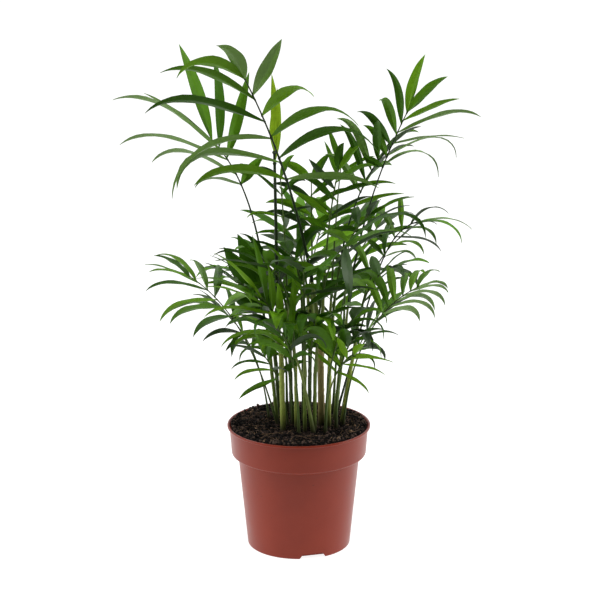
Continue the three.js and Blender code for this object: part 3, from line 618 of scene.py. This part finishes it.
def earth_material(name, low, high):
    material, tree, shader = new_material(name, Roughness=0.95, Specular_IOR_Level=0.12)
    grain = clouds(tree, object_place(tree), detail=6.0, scale=EARTH_GRAIN)
    grained = mixed_colour(tree, ranged(tree, grain, *EARTH_SPAN), low, high)
    tree.links.new(grained, shader.inputs["Base Color"])
    bump(tree, shader, grain, EARTH_RELIEF)
    return material


PLASTIC = ((0.212, 0.023, 0.009, 1), (0.27, 0.033, 0.013, 1))
PLASTIC_CLOUDS, PLASTIC_SPECKS = 45.0, 420.0  # in a metre
PLASTIC_RELIEF = 0.12
GLOSS_SPAN, GLOSS = (0.3, 0.7), (0.28, 0.38)  # of the clouds, and the roughness it gives
SPECK = (0.05, 0.018, 0.012, 1)
SPECK_SPAN, SPECK_TINT = (0.745, 0.77), 0.7


def pot_material():
    """Moulded plastic: faint clouds in colour and gloss, and a few dark specks."""
    material, tree, shader = new_material("pot_plastic", Roughness=0.3, Specular_IOR_Level=0.26)
    place = object_place(tree)
    cloud = clouds(tree, place, detail=5.0, scale=PLASTIC_CLOUDS)
    dots = clouds(tree, place, detail=2.0, scale=PLASTIC_SPECKS)
    specks = ranged(tree, dots, *SPECK_SPAN, most=SPECK_TINT)
    speckled = mixed_colour(tree, specks, mixed_colour(tree, cloud, *PLASTIC), SPECK)
    tree.links.new(speckled, shader.inputs["Base Color"])
    tree.links.new(ranged(tree, cloud, *GLOSS_SPAN, *GLOSS), shader.inputs["Roughness"])
    bump(tree, shader, cloud, PLASTIC_RELIEF)
    return material


# ---- leaves ----

# Shares of a leaflet's length with a ring of points, closer at both ends.
LEAF_STATIONS = (
    0, 0.02, 0.05, 0.09, 0.14, 0.2, 0.27, 0.35, 0.43, 0.51, 0.59, 0.67, 0.75, 0.82, 0.88, 0.93,
    0.97, 0.99,
)
LEAF_COLUMNS = np.linspace(-1, 1, 9)  # places across its upper side, over half its width
LEAF_THICK, EDGE_THINNER = 0.32, 0.7  # mm at the midrib, and the share of it lost at the edge
FOLD_ROOT, FOLD_BLADE = 42, 13  # degrees that each half is folded up from level
FOLD_OPENS = 0.4  # share of the length where the fold has opened
PLEAT = 0.07  # mm of the ridges between the veins
WAVE, WAVES = 0.08, 2.6  # height of an edge's waves over half the width, and their number
ROLL_MOST, ROLL_PHASES = 9, 5  # degrees that a leaflet rolls to its tip, by its phase
LEAF_SEEDS = 1000  # added to a frond's seed for its leaflets' waves

# Colour and sheen of the leaves, dealt out by frond and then by leaflet in turn. The tones partly
# paint light and shade: the dark tone and the darker fronds inside the crown are painted shade, the
# paler fresh, lime and young tones partly paint light shining through the leaf, and the satin
# tone's paler, greyer colour is partly painted sheen.
LEAF_COLOURS = {
    "dark": ((0.02, 0.056, 0.005, 1), 0.4),
    "deep": ((0.037, 0.112, 0.004, 1), 0.1),
    "mid": ((0.075, 0.195, 0.006, 1), 0.12),
    "fresh": ((0.12, 0.275, 0.009, 1), 0.1),
    "satin": ((0.11, 0.23, 0.025, 1), 0.4),
    "lime": ((0.15, 0.32, 0.012, 1), 0.06),
    "young": ((0.25, 0.41, 0.016, 1), 0.03),
}
# Painted shade: mostly darker tones, for the fronds inside and low in the crown.
SHADED = "deep mid dark fresh deep"  # for the fronds that aren't named here
FROND_COLOURS = {
    "tall_frond_1": "satin fresh deep satin mid",
    "tall_frond_2": "mid satin deep satin",
    "tall_frond_3": "satin deep satin mid satin deep satin mid fresh deep mid fresh",
    "tall_frond_4": "mid satin dark deep",
    "spear_leaf": "young",
    "side_frond_1": "mid deep fresh",
    "side_frond_2": "fresh lime mid",
    "side_frond_3": "satin mid fresh satin dark",
    "side_frond_4": "satin fresh satin mid",
    "low_frond_1": "lime",
    "low_frond_3": "deep",
    "middle_frond_1": "fresh mid",
    "middle_frond_2": "mid dark mid fresh",
}


def leaf_body(leaflet, line, phase):
    """A leaflet folded up along its midrib, pleated along its veins and waved at its edges."""
    away = np.abs(LEAF_COLUMNS)
    pleats = np.where(np.arange(len(away)) % 2, PLEAT, -PLEAT)
    rings = []
    for share in LEAF_STATIONS:
        point, growth, face = line_at(line, share * LEAF_STEPS)
        face = turned(face, growth, math.radians(ROLL_MOST) * share * math.sin(phase * ROLL_PHASES))
        aside = np.cross(growth, face)
        width = leaflet_shape(share)
        half = leaflet["width"] / 2 * width
        fold = math.radians(between(FOLD_ROOT, FOLD_BLADE, min(share / FOLD_OPENS, 1)))
        wave = WAVE * math.sin(2 * math.pi * (WAVES * share + phase))
        rise = half * (math.tan(fold) * (away - 0.5) + wave * LEAF_COLUMNS * away) + pleats * width
        upper = point + np.outer(LEAF_COLUMNS * half, aside) + np.outer(rise, face)
        thick = LEAF_THICK * (1 - EDGE_THINNER * away[1:-1])
        lower = upper[1:-1] - np.outer(thick, face)
        rings.append(np.vstack([upper, lower[::-1]]))
    return loft(rings, line[0][-1])


across_ring = np.concatenate([LEAF_COLUMNS, LEAF_COLUMNS[-2:0:-1]])
leaf_across = np.append(np.tile(across_ring, len(LEAF_STATIONS)), 0.0)

leaves = {tone: Bundle("across") for tone in LEAF_COLOURS}
leaf_nodes = {tone: set() for tone in LEAF_COLOURS}
lines, roots = {}, {}
for grown in FRONDS:
    name = grown["name"]
    tips = tips_of(name)
    lines[name] = rib_line(grown)
    roll = dice(grown["seed"] + LEAF_SEEDS)
    tones = FROND_COLOURS.get(name, SHADED).split()
    roots[name] = []
    for count, leaflet in enumerate(leaflets(grown, lines[name])):
        phase, tone = roll(), tones[count % len(tones)]
        found = fitted(leaflet, tips)
        if found:
            leaves[tone].add(*leaf_body(*found, phase), across=leaf_across)
            leaf_nodes[tone].add(name)
            roots[name].append(leaflet["share"])

for tone, bundle in leaves.items():
    look = leaf_material(f"leaf_{tone}", *LEAF_COLOURS[tone])
    piece(f"leaves_{tone}", bundle, look, sorted(leaf_nodes[tone]))

# ---- stalks ----

STALK_SIDES = 10
STALK_RINGS = 60  # besides three at each leaflet's root
STALK_BURIED = 4.0  # mm that a stalk goes on down inside its stem or the soil
SHEATH, SHEATH_FADES = 0.75, 9.0  # mm by which the foot is wider, and over which that fades
CHANNEL, CHANNEL_FROM = 0.24, 0.9  # groove's depth over the radius, and sine where it starts
JOINT, JOINT_LENGTH = 0.45, 1.3  # swelling at a leaflet's root, over the radius, and its mm
JOINT_SHARP = 1.6
PALE_UNTIL = 0.12  # share of a stalk and rib that is pale, on a stem
PALE_FROM_SOIL = {"side_frond_2": 0.66, "low_frond_1": 0.6}  # the same, from the soil

STALK_COLOURS = {
    "pale": ((0.22, 0.28, 0.07, 1), (0.13, 0.18, 0.04, 1)),
    "green": ((0.075, 0.13, 0.02, 1), (0.05, 0.09, 0.014, 1)),
    "dark": ((0.02, 0.038, 0.01, 1), (0.013, 0.026, 0.008, 1)),
}
DARK_STALKS = (*(f"tall_frond_{number}" for number in range(1, 5)), "side_frond_3", "spear_leaf")


def stalk_rings(grown, line, joints):
    """Rings of points up a stalk and its rib, each with its share of the length."""
    length = grown["petiole"] + grown["blade"]
    step = JOINT_LENGTH / length
    shares = set(np.linspace(0, 1, STALK_RINGS))
    shares |= {clamp(joint + k * step, 0, 1) for joint in joints for k in (-1, 0, 1)}
    shares = [-STALK_BURIED / length, *sorted(shares)]
    turn = round_angles(STALK_SIDES)
    depth = np.where(np.sin(turn) > CHANNEL_FROM, 1 - CHANNEL, 1.0)
    rings = []
    for share in shares:
        point, growth = line_at(line, max(share, 0) * RIB_STEPS)
        if share < 0:
            point = point - growth * STALK_BURIED
        side, top = blade_frame(grown, growth)
        radius = between(*grown["stalk"], max(share, 0))
        radius += SHEATH * math.exp(-max(share, 0) * length / SHEATH_FADES)
        near = [(share - joint) / step * JOINT_SHARP for joint in joints]
        radius *= 1 + JOINT * sum(math.exp(-(off**2)) for off in near)
        out = np.outer(np.cos(turn), side) + np.outer(np.sin(turn) * depth, top)
        rings.append(point + radius * out)
    return shares, rings


stalks = {tone: Bundle() for tone in STALK_COLOURS}
stalk_nodes = {tone: [] for tone in STALK_COLOURS}
for grown in FRONDS:
    name = grown["name"]
    shares, rings = stalk_rings(grown, lines[name], roots[name])
    upper = "dark" if name in DARK_STALKS else "green"
    pale = PALE_FROM_SOIL.get(name, 0) if "foot" in grown else PALE_UNTIL
    split = next(i for i, share in enumerate(shares) if share > pale) if pale else 0
    for tone, part in (("pale", rings[: split + 1]), (upper, rings[split:])):
        if len(part) > 1:
            stalks[tone].add(*loft(part))
            stalk_nodes[tone].append(name)
for tone, bundle in stalks.items():
    look = stalk_material(f"stalk_{tone}", *STALK_COLOURS[tone])
    piece(f"stalks_{tone}", bundle, look, stalk_nodes[tone])

# ---- stems ----

STEM_SIDES = 24
STEM_STEP = 1.0  # mm between rings of points
STEM_BURIED = 3.0
SHEATH_LENGTH = 19.0  # mm from one sheath's mouth to the next
SHEATH_STEP = 0.3  # mm by which a sheath's mouth stands off the one inside it
MOUTH_SLANT = 3.0  # mm that a mouth is higher on one side
STEM_RIBS, STEM_RIB = 9, 0.09  # ribs round a sheath, and their height in mm
SLANTS = 8  # bearings that the mouths take in turn
SWELL_FADES = 4  # mm over which a stem's foot narrows
STEM_SEEDS = 50
ANY_PHASE = 6  # radians, nearly a full turn

# Colour, streaks' colour, and the stems of each, counted from 0. The dark tone on the stems toward
# the back is painted shade.
STEM_COLOURS = {
    "light": ((0.42, 0.48, 0.1, 1), (0.2, 0.28, 0.04, 1), (1, 2, 6, 8)),
    "green": ((0.18, 0.26, 0.04, 1), (0.09, 0.14, 0.02, 1), (0, 3, 4, 7)),
    "dark": ((0.06, 0.095, 0.018, 1), (0.035, 0.055, 0.01, 1), (9, 10, 11, 12, 13)),
    "tan": ((0.38, 0.3, 0.12, 1), (0.24, 0.2, 0.07, 1), (5,)),
}


def stem_rings(shape, roll):
    """Rings of points up a stem wrapped in sheaths, each mouth slanting its own way."""
    height = shape["height"]
    straight = shape["foot"] / STEM_SWELL
    turn = round_angles(STEM_SIDES)
    ribs = STEM_RIB * np.abs(np.sin(turn * STEM_RIBS / 2 + roll() * ANY_PHASE))
    first, slants = roll() * SHEATH_LENGTH, [roll() * 2 * math.pi for _ in range(SLANTS)]
    rings = []
    for z in np.append(np.arange(-STEM_BURIED, height, STEM_STEP), height):
        above = z + first
        sheath = int(above // SHEATH_LENGTH)
        slant = MOUTH_SLANT * np.cos(turn - slants[(sheath + 1) % SLANTS])
        below = (above - slant) / SHEATH_LENGTH - sheath
        step = SHEATH_STEP * (below % 1.0)
        share = max(z, 0) / height
        radius = between(straight, shape["top"], share)
        radius += (shape["foot"] - straight) * math.exp(-max(z, 0) / SWELL_FADES)
        out = (radius + step + ribs - SHEATH_STEP)[:, None]
        rings.append(stem_point(shape, z) + circle(STEM_SIDES) * out)
    return rings


for tone, (colour, streak, numbers) in STEM_COLOURS.items():
    bundle = Bundle()
    for number in numbers:
        bundle.add(*loft(stem_rings(STEMS[number], dice(number + STEM_SEEDS))))
    look = stalk_material(f"stem_{tone}", colour, streak)
    piece(f"stems_{tone}", bundle, look, [f"stem_{n + 1}" for n in numbers])

# ---- pot ----

POT_HEIGHT = 105.0
LIP_RADIUS, LIP_BOTTOM = 60.0, 103.2
COLLAR_TOP, COLLAR_FOOT, COLLAR_BOTTOM = 58.2, 56.4, 80.2
SHOULDER, SHOULDER_STEP = 51.0, 2.0  # radius under the collar, and how far below it the wall ends
BASE_RADIUS = 43.2
WALL, FLOOR = 1.4, 2.0
BEVEL, LIP_BEVEL = 1.2, 0.7
CORNER, LIP_CORNER = 0.8, 0.4  # rounding inside the pot and under its lip
ROUND_STEPS = 5  # faces round each rounded edge
POT_SIDES, POT_SHARP = 192, 40
NOTCHES, NOTCH_BEARING = 3, 286
NOTCH_WIDTH, NOTCH_ROOF, NOTCH_HEIGHT, NOTCH_DEPTH = 24.0, 17.0, 4.5, 8.0
HOLES, HOLE_RADIUS, HOLE_RING, HOLE_SIDES = 6, 3.5, 22.0, 24
PAST = 1.0  # how far cutting bodies go past what they cut


def body_inside(z):
    return between(BASE_RADIUS, SHOULDER, z / COLLAR_BOTTOM) - WALL


def lip_inside(z):
    """Inside radius of the lip, which flares out over the collar."""
    share = (z - LIP_BOTTOM) / (POT_HEIGHT - LIP_BOTTOM)
    return between(COLLAR_TOP, LIP_RADIUS, share) - WALL


def rounded(profile):
    """A profile of (radius, height, rounding) corners with each corner drawn as an arc."""
    line = [profile[0][:2]]
    for (r0, z0, _), (r1, z1, size), (r2, z2, _) in zip(profile, profile[1:], profile[2:]):
        before, corner, after = np.array([r0, z0]), np.array([r1, z1]), np.array([r2, z2])
        if not size:
            line.append((r1, z1))
            continue
        start = corner + unit(before - corner) * size
        end = corner + unit(after - corner) * size
        for k in range(ROUND_STEPS + 1):
            t = k / ROUND_STEPS
            line.append(tuple(start * (1 - t) ** 2 + corner * 2 * t * (1 - t) + end * t**2))
    return line + [profile[-1][:2]]


def lathe(profile, sides):
    """A closed body turned from a profile that starts and ends on the upright axis."""
    rings = [circle(sides) * r + UP * z for r, z in profile[1:-1]]
    points = np.vstack([*rings, UP * profile[0][1], UP * profile[-1][1]])
    faces, end = strips(len(rings), sides)
    for i in range(sides):
        j = (i + 1) % sides
        faces.append((j, i, end + sides))
        faces.append((end + i, end + j, end + sides + 1))
    return points, faces


def scratch_object(points, faces):
    mesh = bpy.data.meshes.new("cut")
    mesh.from_pydata((np.asarray(points) * MM).tolist(), [], faces)
    return linked("cut", mesh)


def wedge(bearing, grow):
    """A foot notch's wedge, grown on every side."""
    foot, roof = NOTCH_WIDTH / 2 + grow, NOTCH_ROOF / 2 + grow
    high = NOTCH_HEIGHT + grow
    out, aside = heading(bearing), heading(bearing + 90)
    near, far = BASE_RADIUS - NOTCH_DEPTH - grow, BASE_RADIUS + 4 * PAST
    section = ((-foot, -PAST), (foot, -PAST), (roof, high), (-roof, high))
    return loft([[out * at + aside * x + UP * z for x, z in section] for at in (near, far)])


def drill(bearing):
    around = heading(bearing) * HOLE_RING + circle(HOLE_SIDES) * HOLE_RADIUS
    return loft([around + UP * z for z in (-2 * FLOOR, 2 * FLOOR)])


def cut(target, bodies):
    """Takes closed bodies out of an object, for good."""
    for points, faces in bodies:
        tool = scratch_object(points, faces)
        modifier = target.modifiers.new("cut", "BOOLEAN")
        modifier.object, modifier.operation, modifier.solver = tool, "DIFFERENCE", "EXACT"
        seen = bpy.context.evaluated_depsgraph_get()
        mesh = bpy.data.meshes.new_from_object(target.evaluated_get(seen))
        target.modifiers.clear()
        target.data = mesh
        bpy.data.objects.remove(tool)


notch_bearings = [NOTCH_BEARING + 360 / NOTCHES * i for i in range(NOTCHES)]
outside = rounded([
    (0, 0, 0),
    (BASE_RADIUS, 0, BEVEL),
    (SHOULDER, COLLAR_BOTTOM - SHOULDER_STEP, CORNER),
    (COLLAR_FOOT, COLLAR_BOTTOM, BEVEL),
    (COLLAR_TOP, LIP_BOTTOM - LIP_CORNER, LIP_CORNER),
    (LIP_RADIUS, LIP_BOTTOM, LIP_BEVEL),
    (LIP_RADIUS, POT_HEIGHT, LIP_BEVEL),
    (0, POT_HEIGHT, 0),
])
inside = rounded([
    (0, FLOOR, 0),
    (body_inside(FLOOR), FLOOR, CORNER),
    (body_inside(COLLAR_BOTTOM), COLLAR_BOTTOM, CORNER),
    (COLLAR_FOOT - WALL, COLLAR_BOTTOM + 2 * WALL, CORNER),
    (lip_inside(LIP_BOTTOM), LIP_BOTTOM, LIP_CORNER),
    (lip_inside(POT_HEIGHT + PAST), POT_HEIGHT + PAST, 0),
    (0, POT_HEIGHT + PAST, 0),
])
cavity = scratch_object(*lathe(inside, POT_SIDES))
cut(cavity, [wedge(bearing, WALL) for bearing in notch_bearings])
pot_bundle = Bundle()
pot_bundle.add(*lathe(outside, POT_SIDES))
pot = piece("pot_shell", pot_bundle, pot_material(), ["pot"], sharp=POT_SHARP)
hollow = [tuple(face.vertices) for face in cavity.data.polygons]
cavity_points = np.array([vertex.co for vertex in cavity.data.vertices]) / MM
bpy.data.objects.remove(cavity)
drills = [drill(NOTCH_BEARING + 360 / HOLES * (i + 0.5)) for i in range(HOLES)]
cut(pot, [(cavity_points, hollow), *(wedge(bearing, 0) for bearing in notch_bearings), *drills])
smooth(pot.data, POT_SHARP)

# ---- soil ----

SOIL_EDGE, SOIL_SHOULDER = 105.0, 105.8
SOIL_TOP_RADIUS, SOIL_SHOULDER_RADIUS, SOIL_RADIUS = 41.0, 50.0, 57.2
SOIL_BOTTOM = FLOOR + GAP
# The underside rises past this radius and over this width, to pass the foot notches.
SOIL_HOLLOW, SOIL_SLOPE, SOIL_RISE = 30.0, 2.0, 7.0
SOIL_RINGS, SOIL_SIDES = 56, 180
LUMPS = ((13.0, 1.3), (4.5, 0.8), (1.8, 0.35))  # mm across and high
CRUMBS, FIBRES, RIM_CLODS, SOIL_SEED = 2600, 1000, 420, 7
HEAP, HEAP_BEARING, HEAP_SPREAD = 1.5, 145, 55  # mm that the soil is heaped at its rim, and where
SUNK = 0.3  # mm that the level lies under the solid's, for the lumps
CRUMB_SIDES, CRUMB_TIP = 6, 80  # degrees from the vertical of its broad side
CRUMB_RINGS = ((-0.7, 0.6), (0.0, 1.0), (0.65, 0.62))  # place along it and width, over its size
CRUMB_FLAT, CRUMB_ROUGH = 0.45, 0.5  # most that a crumb is flattened, and its outline's spread
CRUMB_LEAST, CRUMB_RANGE = 0.35, 1.5  # mm
CLOD_LEAST, CLOD_RANGE = 0.6, 1.3
CRUMB_UP, CLOD_UP = 0.3, 0.2  # height of its middle over the soil, over its size
CLODS_DEEP = 3.5  # mm in from the wall where the clods at the rim lie
OFF_WALL, FIBRE_OFF_WALL = 2.0, 1.0
FIBRE_STEPS, FIBRE_SIDES, FIBRE_BEND = 7, 3, 130  # most degrees that it bends either way
FIBRE_LEAST, FIBRE_RANGE = 4, 15  # mm long
FIBRE_THIN, FIBRE_THICKER = 0.1, 0.16  # mm of radius
FIBRE_ROOT, FIBRE_TAPER = 1.05, 0.7  # radius at its start, and the loss to its end
FIBRE_UP, FIBRE_LIFT = 0.2, 2.2  # mm that its middle lifts

# Chances of the dark tone, and of brown against tan where it isn't dark. Dark crumbs grow fewer
# toward the wall, which paints shade on the middle of the soil, under the plant.
CRUMB_DARK, SHADE_FADE_AT_WALL, CRUMB_BROWN = 0.97, 0.45, 0.85
CLOD_DARK = 0.6
FIBRE_DARK, FIBRE_BROWN = 0.3, 0.7

EARTH = {
    "dark": ((0.003, 0.0025, 0.0024, 1), (0.015, 0.0112, 0.0105, 1)),
    "brown": ((0.05, 0.034, 0.029, 1), (0.15, 0.1, 0.078, 1)),
    "tan": ((0.18, 0.11, 0.065, 1), (0.36, 0.23, 0.14, 1)),
}


def soil_height(x, y):
    """Height of the lumpy top of the soil, which falls off toward the pot's wall."""
    radius = math.hypot(x, y)
    heights = (SOIL_TOP, SOIL_TOP, SOIL_SHOULDER, SOIL_EDGE)
    level = np.interp(radius, (0, SOIL_TOP_RADIUS, SOIL_SHOULDER_RADIUS, SOIL_RADIUS), heights)
    lumps = sum(high * noise.noise(Vector((x / wide, y / wide, wide))) for wide, high in LUMPS)
    return level + lumps - SUNK


def soil_body():
    wall = [
        (body_inside(COLLAR_BOTTOM) - GAP, COLLAR_BOTTOM + GAP),
        (COLLAR_FOOT - WALL - GAP, COLLAR_BOTTOM + 2 * (WALL + GAP)),
        (lip_inside(LIP_BOTTOM) - GAP, LIP_BOTTOM),
    ]
    under = [(SOIL_HOLLOW, SOIL_BOTTOM), (SOIL_HOLLOW + SOIL_SLOPE, SOIL_RISE)]
    under += [(body_inside(SOIL_RISE) - GAP, SOIL_RISE)]
    top = [(SOIL_RADIUS * (1 - k / SOIL_RINGS), 0) for k in range(SOIL_RINGS)]
    points, faces = lathe([(0, SOIL_BOTTOM), *under, *wall, *top, (0, 0)], SOIL_SIDES)
    low = len(under + wall) * SOIL_SIDES
    for row in (*range(low, len(points) - 2), len(points) - 1):
        points[row][2] = soil_height(*points[row][:2])
    return points, faces


def heap(bearing):
    """Height that clods are heaped over the soil's rim, most at the back left."""
    off = (bearing - HEAP_BEARING + 180) % 360 - 180
    return HEAP * math.exp(-((off / HEAP_SPREAD) ** 2))


def crumb(centre, size, roll):
    """A small lump with a rough outline."""
    turn = round_angles(CRUMB_SIDES) + roll() * ANY_PHASE
    spin, tilt = roll() * 360, roll() * 180
    axis = heading(spin, tilt)
    side = square_to(heading(spin + 90, CRUMB_TIP), axis)
    top = np.cross(axis, side)
    flat = 1 - CRUMB_FLAT + CRUMB_FLAT * roll()
    rings = []
    for along, wide in CRUMB_RINGS:
        rough = [1 + CRUMB_ROUGH * (roll() - 0.5) for _ in range(CRUMB_SIDES)]
        reach = np.array(rough) * wide * size
        out = np.outer(np.cos(turn) * reach, side) + np.outer(np.sin(turn) * reach * flat, top)
        rings.append(centre + axis * size * along + out)
    return loft(rings)


def fibre(x, y, length, thick, roll):
    """A root or peat fibre that lies along the soil and lifts a little."""
    bearing = roll() * 360
    bend = (roll() * 2 - 1) * FIBRE_BEND
    lift = FIBRE_UP + roll() * roll() * FIBRE_LIFT
    turn = round_angles(FIBRE_SIDES)
    rings = []
    for k in range(FIBRE_STEPS + 1):
        share = k / FIBRE_STEPS
        out = heading(bearing + bend * share)
        x, y = x + out[0] * length / FIBRE_STEPS, y + out[1] * length / FIBRE_STEPS
        if math.hypot(x, y) > SOIL_RADIUS - FIBRE_OFF_WALL:
            break
        rise = soil_height(x, y) + thick + lift * math.sin(math.pi * share)
        side = np.cross(out, UP)
        radius = thick * (FIBRE_ROOT - FIBRE_TAPER * share)
        ring = np.outer(np.cos(turn), side) + np.outer(np.sin(turn), UP)
        rings.append(np.array([x, y, rise]) + ring * radius)
    return loft(rings) if len(rings) > 2 else None


def scattered(roll):
    """A place on the soil, off the wall."""
    radius, bearing = (SOIL_RADIUS - OFF_WALL) * math.sqrt(roll()), roll() * 360
    return (heading(bearing) * radius)[:2]


soil_bundle = Bundle()
soil_bundle.add(*soil_body())
bed_look = earth_material("earth_bed", *EARTH["dark"])
piece("soil_bed", soil_bundle, bed_look, ["soil"], sharp=180)

roll = dice(SOIL_SEED)
crumbs = {tone: Bundle() for tone in EARTH}
for _ in range(CRUMBS):
    x, y = scattered(roll)
    size = CRUMB_LEAST + CRUMB_RANGE * roll() ** 3
    # Painted shade: the dark chance is highest in the middle, under the plant, and falls toward the
    # wall.
    dark = CRUMB_DARK - SHADE_FADE_AT_WALL * (math.hypot(x, y) / SOIL_RADIUS) ** 2
    tone = "dark" if roll() < dark else "brown" if roll() < CRUMB_BROWN else "tan"
    centre = np.array([x, y, soil_height(x, y) + size * CRUMB_UP])
    crumbs[tone].add(*crumb(centre, size, roll))
for _ in range(RIM_CLODS):
    bearing, size = roll() * 360, CLOD_LEAST + CLOD_RANGE * roll() ** 2
    x, y = (heading(bearing) * (SOIL_RADIUS - size - CLODS_DEEP * roll() ** 2))[:2]
    tone = "dark" if roll() < CLOD_DARK else "brown"
    centre = np.array([x, y, soil_height(x, y) + heap(bearing) * roll() + size * CLOD_UP])
    crumbs[tone].add(*crumb(centre, size, roll))
for _ in range(FIBRES):
    x, y = scattered(roll)
    tone = "dark" if roll() < FIBRE_DARK else "brown" if roll() < FIBRE_BROWN else "tan"
    length, thick = FIBRE_LEAST + FIBRE_RANGE * roll(), FIBRE_THIN + FIBRE_THICKER * roll()
    made = fibre(x, y, length, thick, roll)
    if made:
        crumbs[tone].add(*made)
for tone, bundle in crumbs.items():
    look = earth_material(f"earth_{tone}", *EARTH[tone])
    piece(f"soil_crumbs_{tone}", bundle, look, ["soil"])

# ---- stage, light and camera ----

WHITE = (1.0, 1.0, 1.0, 1.0)
FLOOR_SIZE = 14.0  # m
FRONT = (-0.3, -0.13)  # Y in m between which the floor turns from dim to white
BACKWARD = (-0.3, 0.3)  # the same for the room, by the direction's Y
DIM_FLOOR, DIM_ROOM = 0.08, 0.06  # of white
CAMERA = (0.001, -1.695, 0.677)  # m
PITCH = 15.33  # degrees down
LENS, SENSOR = 127.62, 36.0
LIT_PLACE = Vector((0, 0, 0.2))  # m, where the lights point

floor_mesh = bpy.data.meshes.new("floor")
half = FLOOR_SIZE / 2
corners = [(-half, -half, 0), (half, -half, 0), (half, half, 0), (-half, half, 0)]
floor_mesh.from_pydata(corners, [], [(0, 1, 2, 3)])
floor_look, tree, shader = new_material(
    "floor", Roughness=0.9, Base_Color=(0.3, 0.3, 0.3, 1), Emission_Strength=0.9
)
front = add_node(tree, "SeparateXYZ", {0: object_place(tree)}).outputs["Y"]
glow = mixed_colour(tree, ranged(tree, front, *FRONT), shade(WHITE, DIM_FLOOR), WHITE)
tree.links.new(glow, shader.inputs["Emission Color"])
floor_mesh.materials.append(floor_look)
floor = linked("floor", floor_mesh)

world = bpy.data.worlds.new("studio")
bpy.context.scene.world = world
world.use_nodes = True
tree = world.node_tree
direction = add_node(tree, "TexCoord").outputs["Generated"]
depth = add_node(tree, "SeparateXYZ", {0: direction}).outputs["Y"]
backward = ranged(tree, depth, *BACKWARD, shape="SMOOTHSTEP")
room = mixed_colour(tree, backward, shade(WHITE, DIM_ROOM), WHITE)
tree.links.new(room, tree.nodes["Background"].inputs["Color"])


def softbox(name, place, width, height, power):
    """A light of a width and height in metres and a power in watts."""
    light = bpy.data.lights.new(name, "AREA")
    light.shape, light.size, light.size_y, light.energy = "RECTANGLE", width, height, power
    made = linked(name, light)
    made.location = place
    way = LIT_PLACE - Vector(place)
    made.rotation_euler = way.to_track_quat("-Z", "Y").to_euler()


softbox("top_light", (0.0, -0.3, 1.5), width=1.2, height=1.0, power=17)
for name, x in (("left_light", -1.4), ("right_light", 1.4)):
    softbox(name, (x, -0.25, 0.6), width=0.5, height=1.2, power=9)

camera = linked("camera", bpy.data.cameras.new("camera"))
camera.data.lens, camera.data.sensor_width = LENS, SENSOR
camera.data.clip_end = 50
camera.location = CAMERA
camera.rotation_euler = (math.radians(90 - PITCH), 0, 0)
bpy.context.scene.camera = camera
bpy.context.scene.view_settings.view_transform = "Standard"
